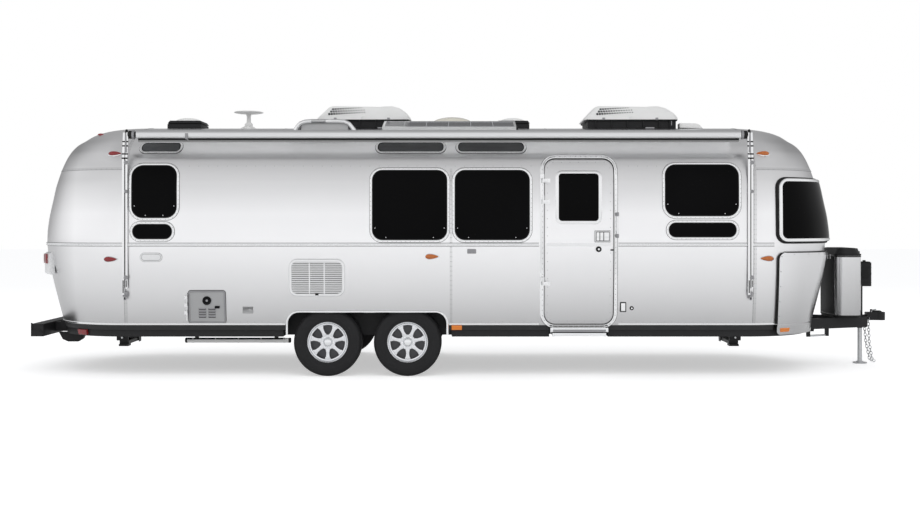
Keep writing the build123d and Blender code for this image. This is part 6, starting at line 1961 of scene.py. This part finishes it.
GAS_BOX = (4.136, 4.436, -0.350, 0.350, 0.110)
bm = bmesh.new()
sweep(bm, plan_ring(*GAS_BOX, tray), [(0.0, -0.030), (0.0, -0.004), (0.022, -0.004), (0.022, -0.030)])
sweep(bm, plan_ring(*GAS_BOX, 0.568), [
    (-0.008, -0.004), (-0.008, 0.004), (0.008, 0.004), (0.010, 0.001), (0.0, -0.003)])
sweep(bm, plan_ring(*GAS_BOX, 1.249), [
    (-0.014, -0.002), (-0.014, 0.003), (-0.002, 0.004), (-0.001, -0.002)])
# black sheet over the cover's rear face: painted shade
slab(bm, 4.1310, 4.139, -0.252, 0.252, 0.580, 1.236, 0.003)
piece("gas_cover_seals_and_rear_shade", bm, seal)
bm, rivets = bmesh.new(), bmesh.new()
sweep(bm, plan_ring(*GAS_BOX, 0.905), [(-0.010, -0.002), (-0.010, 0.002), (0.010, 0.002), (0.010, -0.002)])
piece("gas_cover_band", bm, steel)
riveted(rivets, plan_ring(*GAS_BOX, 0.600), [(0, 0.0)], 0.12)
piece("gas_cover_rivets", rivets, rivet_metal, crease=60)
bm = bmesh.new()
sweep(bm, plan_ring(*GAS_BOX, 1.262), [
    (-0.009, -0.004), (-0.009, 0.004), (0.004, 0.005), (0.010, 0.001), (0.010, -0.006)])
slab(bm, 4.196, 4.376, -0.240, 0.240, 1.3325, 1.3375, 0.002)
for y in (-0.19, 0.19):
    slab(bm, 4.418, 4.4405, y - 0.022, y + 0.022, 1.256, 1.300, 0.003)
piece("gas_lid_details", bm, black_plastic, "gas_cover_lid")

JACK_X, HEAD = 4.510, (4.462, 4.628, -0.078, 0.078, 0.034)
bm = bmesh.new()
for z, low, high in ((1.112, -0.003, 0.003), (0.936, -0.002, 0.002)):
    sweep(bm, plan_ring(*HEAD, z), [(low, -0.002), (low, 0.0015), (high, 0.0015), (high, -0.002)])
slab(bm, 4.476, 4.614, -0.064, 0.064, 1.163, 1.176, 0.006, 3)
lathe(bm, button(0.018, 0.014, 0.013, 0.018), (4.560, 0.0, 1.174), UP, 24)
for y in (-0.084, 0.076):
    slab(bm, 4.500, 4.590, y, y + 0.008, 0.985, 1.085, 0.004)
for y in (-0.030, 0.0, 0.030):
    slab(bm, 4.626, 4.634, y - 0.008, y + 0.008, 1.020, 1.050, 0.002)
slab(bm, 4.654, 4.760, -0.030, 0.030, 0.556, 0.610, 0.018, 4)
piece("jack_head_details", bm, seal)
bm = bmesh.new()
for turn in range(3):
    angle = math.radians(60 + 120 * turn)
    x, y = JACK_X + 0.043 * math.cos(angle), 0.043 * math.sin(angle)
    bar(bm, (x, y, 0.556), (x, y, 0.568), 0.007, sides=6)
lathe(bm, [(0.0, 0.0), (0.012, 0.0), (0.012, 0.004), (0.0, 0.005)], (4.632, 0.0, 0.960), (1, 0, 0), 20)
bar(bm, (4.640, 0.0, 0.612), (4.700, 0.0, 0.622), 0.007)
bar(bm, (4.640, -0.020, 0.600), (4.640, 0.020, 0.600), 0.006)
piece("coupler_latch", bm, galvanised)

# ---------------- safety chains
# Two welded steel chains from eyes on the A-frame, hanging free with a hook at the end.
LINK_LENGTH, LINK_WIDTH, LINK_WIRE = 0.0208, 0.0140, 0.0042
LINK_PITCH = 0.0325


def chain_link(bm, centre, along, across):
    """One oval link: a round wire carried round two straight sides and two half circles."""
    through = along.cross(across).normalized()
    straight = LINK_LENGTH - LINK_WIDTH
    stations = []
    for step in range(13):
        angle = 2 * math.pi * step / 12
        ahead = math.cos(angle)
        shift = straight if ahead > 0.001 else -straight if ahead < -0.001 else 0.0
        outward = (along * ahead + across * math.sin(angle)).normalized()
        stations.append((centre + along * shift + outward * LINK_WIDTH, through, outward))
    turns = [math.radians(60 * step) for step in range(6)]
    sweep(bm, stations, [(LINK_WIRE * math.cos(turn), LINK_WIRE * math.sin(turn)) for turn in turns])


CHAIN_ROUTE = [(4.582, 0.074, 0.541), (4.600, 0.060, 0.240), (4.640, 0.045, 0.040)]
HOOK = [(0.0, 0.010), (0.004, -0.008), (0.014, -0.022), (0.028, -0.020), (0.034, -0.006), (0.030, 0.006)]
bm = bmesh.new()
for side in (1, -1):
    route = [Vector((x, side * y, z)) for x, y, z in CHAIN_ROUTE]
    count = 0
    for start, end in zip(route, route[1:]):
        along = (end - start).normalized()
        sideways = along.cross(FORWARD).normalized()
        other = along.cross(sideways).normalized()
        steps = round((end - start).length / LINK_PITCH)
        for step in range(steps):
            centre = start.lerp(end, (step + 0.5) / steps)
            chain_link(bm, centre, along, sideways if count % 2 else other)
            count += 1
    wire(bm, [route[-1] + Vector((x, 0, z)) for x, z in HOOK], 0.0045, 12)
piece("chain_links", bm, galvanised, replaces=["safety_chains"], crease=60)

# ---------------- entry step
# A folding aluminium step on swing arms under the door, with grip strips on its tread.
cad_finish(latch_grey, "step_bracket")
cad_finish(bright, "step_tread")
bm = bmesh.new()
for y in (-1.225, -1.180, -1.135, -1.090, -1.045):
    slab(bm, 0.880, 1.394, y - 0.011, y + 0.011, 0.4615, 0.4645, 0.001)
piece("step_grips", bm, seal, "step_board")
bm = bmesh.new()
for x in (0.866, 1.408):
    slab(bm, x - 0.012, x + 0.012, -1.2605, -1.236, 0.4262, 0.4645, 0.004)
slab(bm, 0.878, 1.396, -1.2605, -1.2565, 0.440, 0.4635, 0.0015)
piece("step_corners", bm, chrome, "step_board")
bm = bmesh.new()
slab(bm, 0.834, 1.440, -1.2645, -1.2600, 0.500, 0.518, 0.0015)
for x in (0.846, 1.428):
    slab(bm, x - 0.014, x + 0.014, -1.2655, -1.2600, 0.474, 0.519, 0.003)
piece("step_fascia", bm, chrome)

# ---------------- floor, light and camera
# A plain pale floor and backdrop, wide soft lamps, and the camera level with the windows.
FLOOR_LIFT = 0.50
GLOSS_LIFT = 0.55
floor = Finish("studio_floor", (0.78, 0.78, 0.78), 0.95, Specular_IOR_Level=0.0)
surface = Flow(floor, floor.shader.outputs[0])
camera_ray = floor.node("ShaderNodeLightPath", out="Is Camera Ray")
glossy_ray = floor.node("ShaderNodeLightPath", out="Is Glossy Ray")
seen = camera_ray.join(glossy_ray * GLOSS_LIFT, "MAXIMUM")
lift = floor.node("ShaderNodeEmission", {}, {"Color": (1, 1, 1, 1), "Strength": FLOOR_LIFT})
both = floor.node("ShaderNodeAddShader", {}, {0: surface, 1: lift})
shown = floor.node("ShaderNodeMixShader", {}, {0: seen, 1: surface, 2: both})
floor.tree.links.new(shown.socket, floor.tree.nodes["Material Output"].inputs["Surface"])
bm = bmesh.new()
bmesh.ops.create_grid(bm, x_segments=1, y_segments=1, size=60)
ground = add_mesh("studio_floor", bm, floor)
ground.location.z = -0.001

lamps = [
    ("key", (0.0, -9.0, 9.5), (0.0, 0.0, 1.4), 12.0, 420), ("rear", (-10.5, -5.0, 5.5), (-1.5, 0.0, 1.4),
    8.0, 60), ("nose", (10.5, -5.0, 5.5), (2.5, 0.0, 1.4), 8.0, 60), ("back", (0.0, 9.0, 9.5),
    (0.0, 0.0, 1.6), 12.0, 340)]
for name, place, aim, size, power in lamps:
    data = bpy.data.lights.new(name, "AREA")
    data.shape = "DISK"
    data.size = size
    data.energy = power
    lamp = add_object(name, data)
    lamp.location = place
    lamp.rotation_euler = (Vector(aim) - Vector(place)).to_track_quat("-Z", "Y").to_euler()
    lamp.visible_glossy = False

world = bpy.data.worlds.new("studio")
bpy.context.scene.world = world
world.use_nodes = True
world.node_tree.nodes.clear()
sky = Nodes(world.node_tree)
place = sky.node("ShaderNodeTexCoord", out="Generated")
sky_up, sky_back = (sky.node("ShaderNodeSeparateXYZ", {}, {0: place}, out=axis) for axis in ("Z", "Y"))
SKY_SHADES = [(0.0, 1.05), (0.30, 0.99), (0.60, 0.80), (0.76, 0.72), (0.93, 0.40), (1.0, 0.55)]
heights = sky.ramp(sky_up, [(at, (shade, shade, shade * 1.01)) for at, shade in SKY_SHADES])
surround = sky.times(heights, sky.ramp(sky_back, [(0.20, 1.0), (0.85, 0.38)]))
ambient = sky.node("ShaderNodeBackground", {}, {"Color": (0.97, 0.98, 1.0, 1), "Strength": 0.62})
mirrored = sky.node("ShaderNodeBackground", {}, {"Color": surround, "Strength": 1.0})
white = sky.node("ShaderNodeBackground", {}, {"Color": (1, 1, 1, 1), "Strength": 1.0})
camera_ray, glossy_ray, clear_ray = (
    sky.node("ShaderNodeLightPath", out=f"Is {kind} Ray") for kind in ("Camera", "Glossy", "Transmission"))
glossy = sky.node("ShaderNodeMixShader", {}, {0: glossy_ray, 1: ambient, 2: mirrored})
seen = sky.node("ShaderNodeMixShader", {}, {0: camera_ray.join(clear_ray, "MAXIMUM"), 1: glossy, 2: white})
sky.node("ShaderNodeOutputWorld", {}, {"Surface": seen})

camera_data = bpy.data.cameras.new("camera")
camera_data.sensor_width = 36.0
camera_data.lens = 46.47
camera_data.shift_y = -0.039
camera_data.clip_end = 200
camera = add_object("camera", camera_data)
camera.location = (-0.118, -13.75, 1.62)
camera.rotation_euler = (math.pi / 2, 0, 0)
bpy.context.scene.camera = camera
bpy.context.scene.view_settings.view_transform = "Standard"
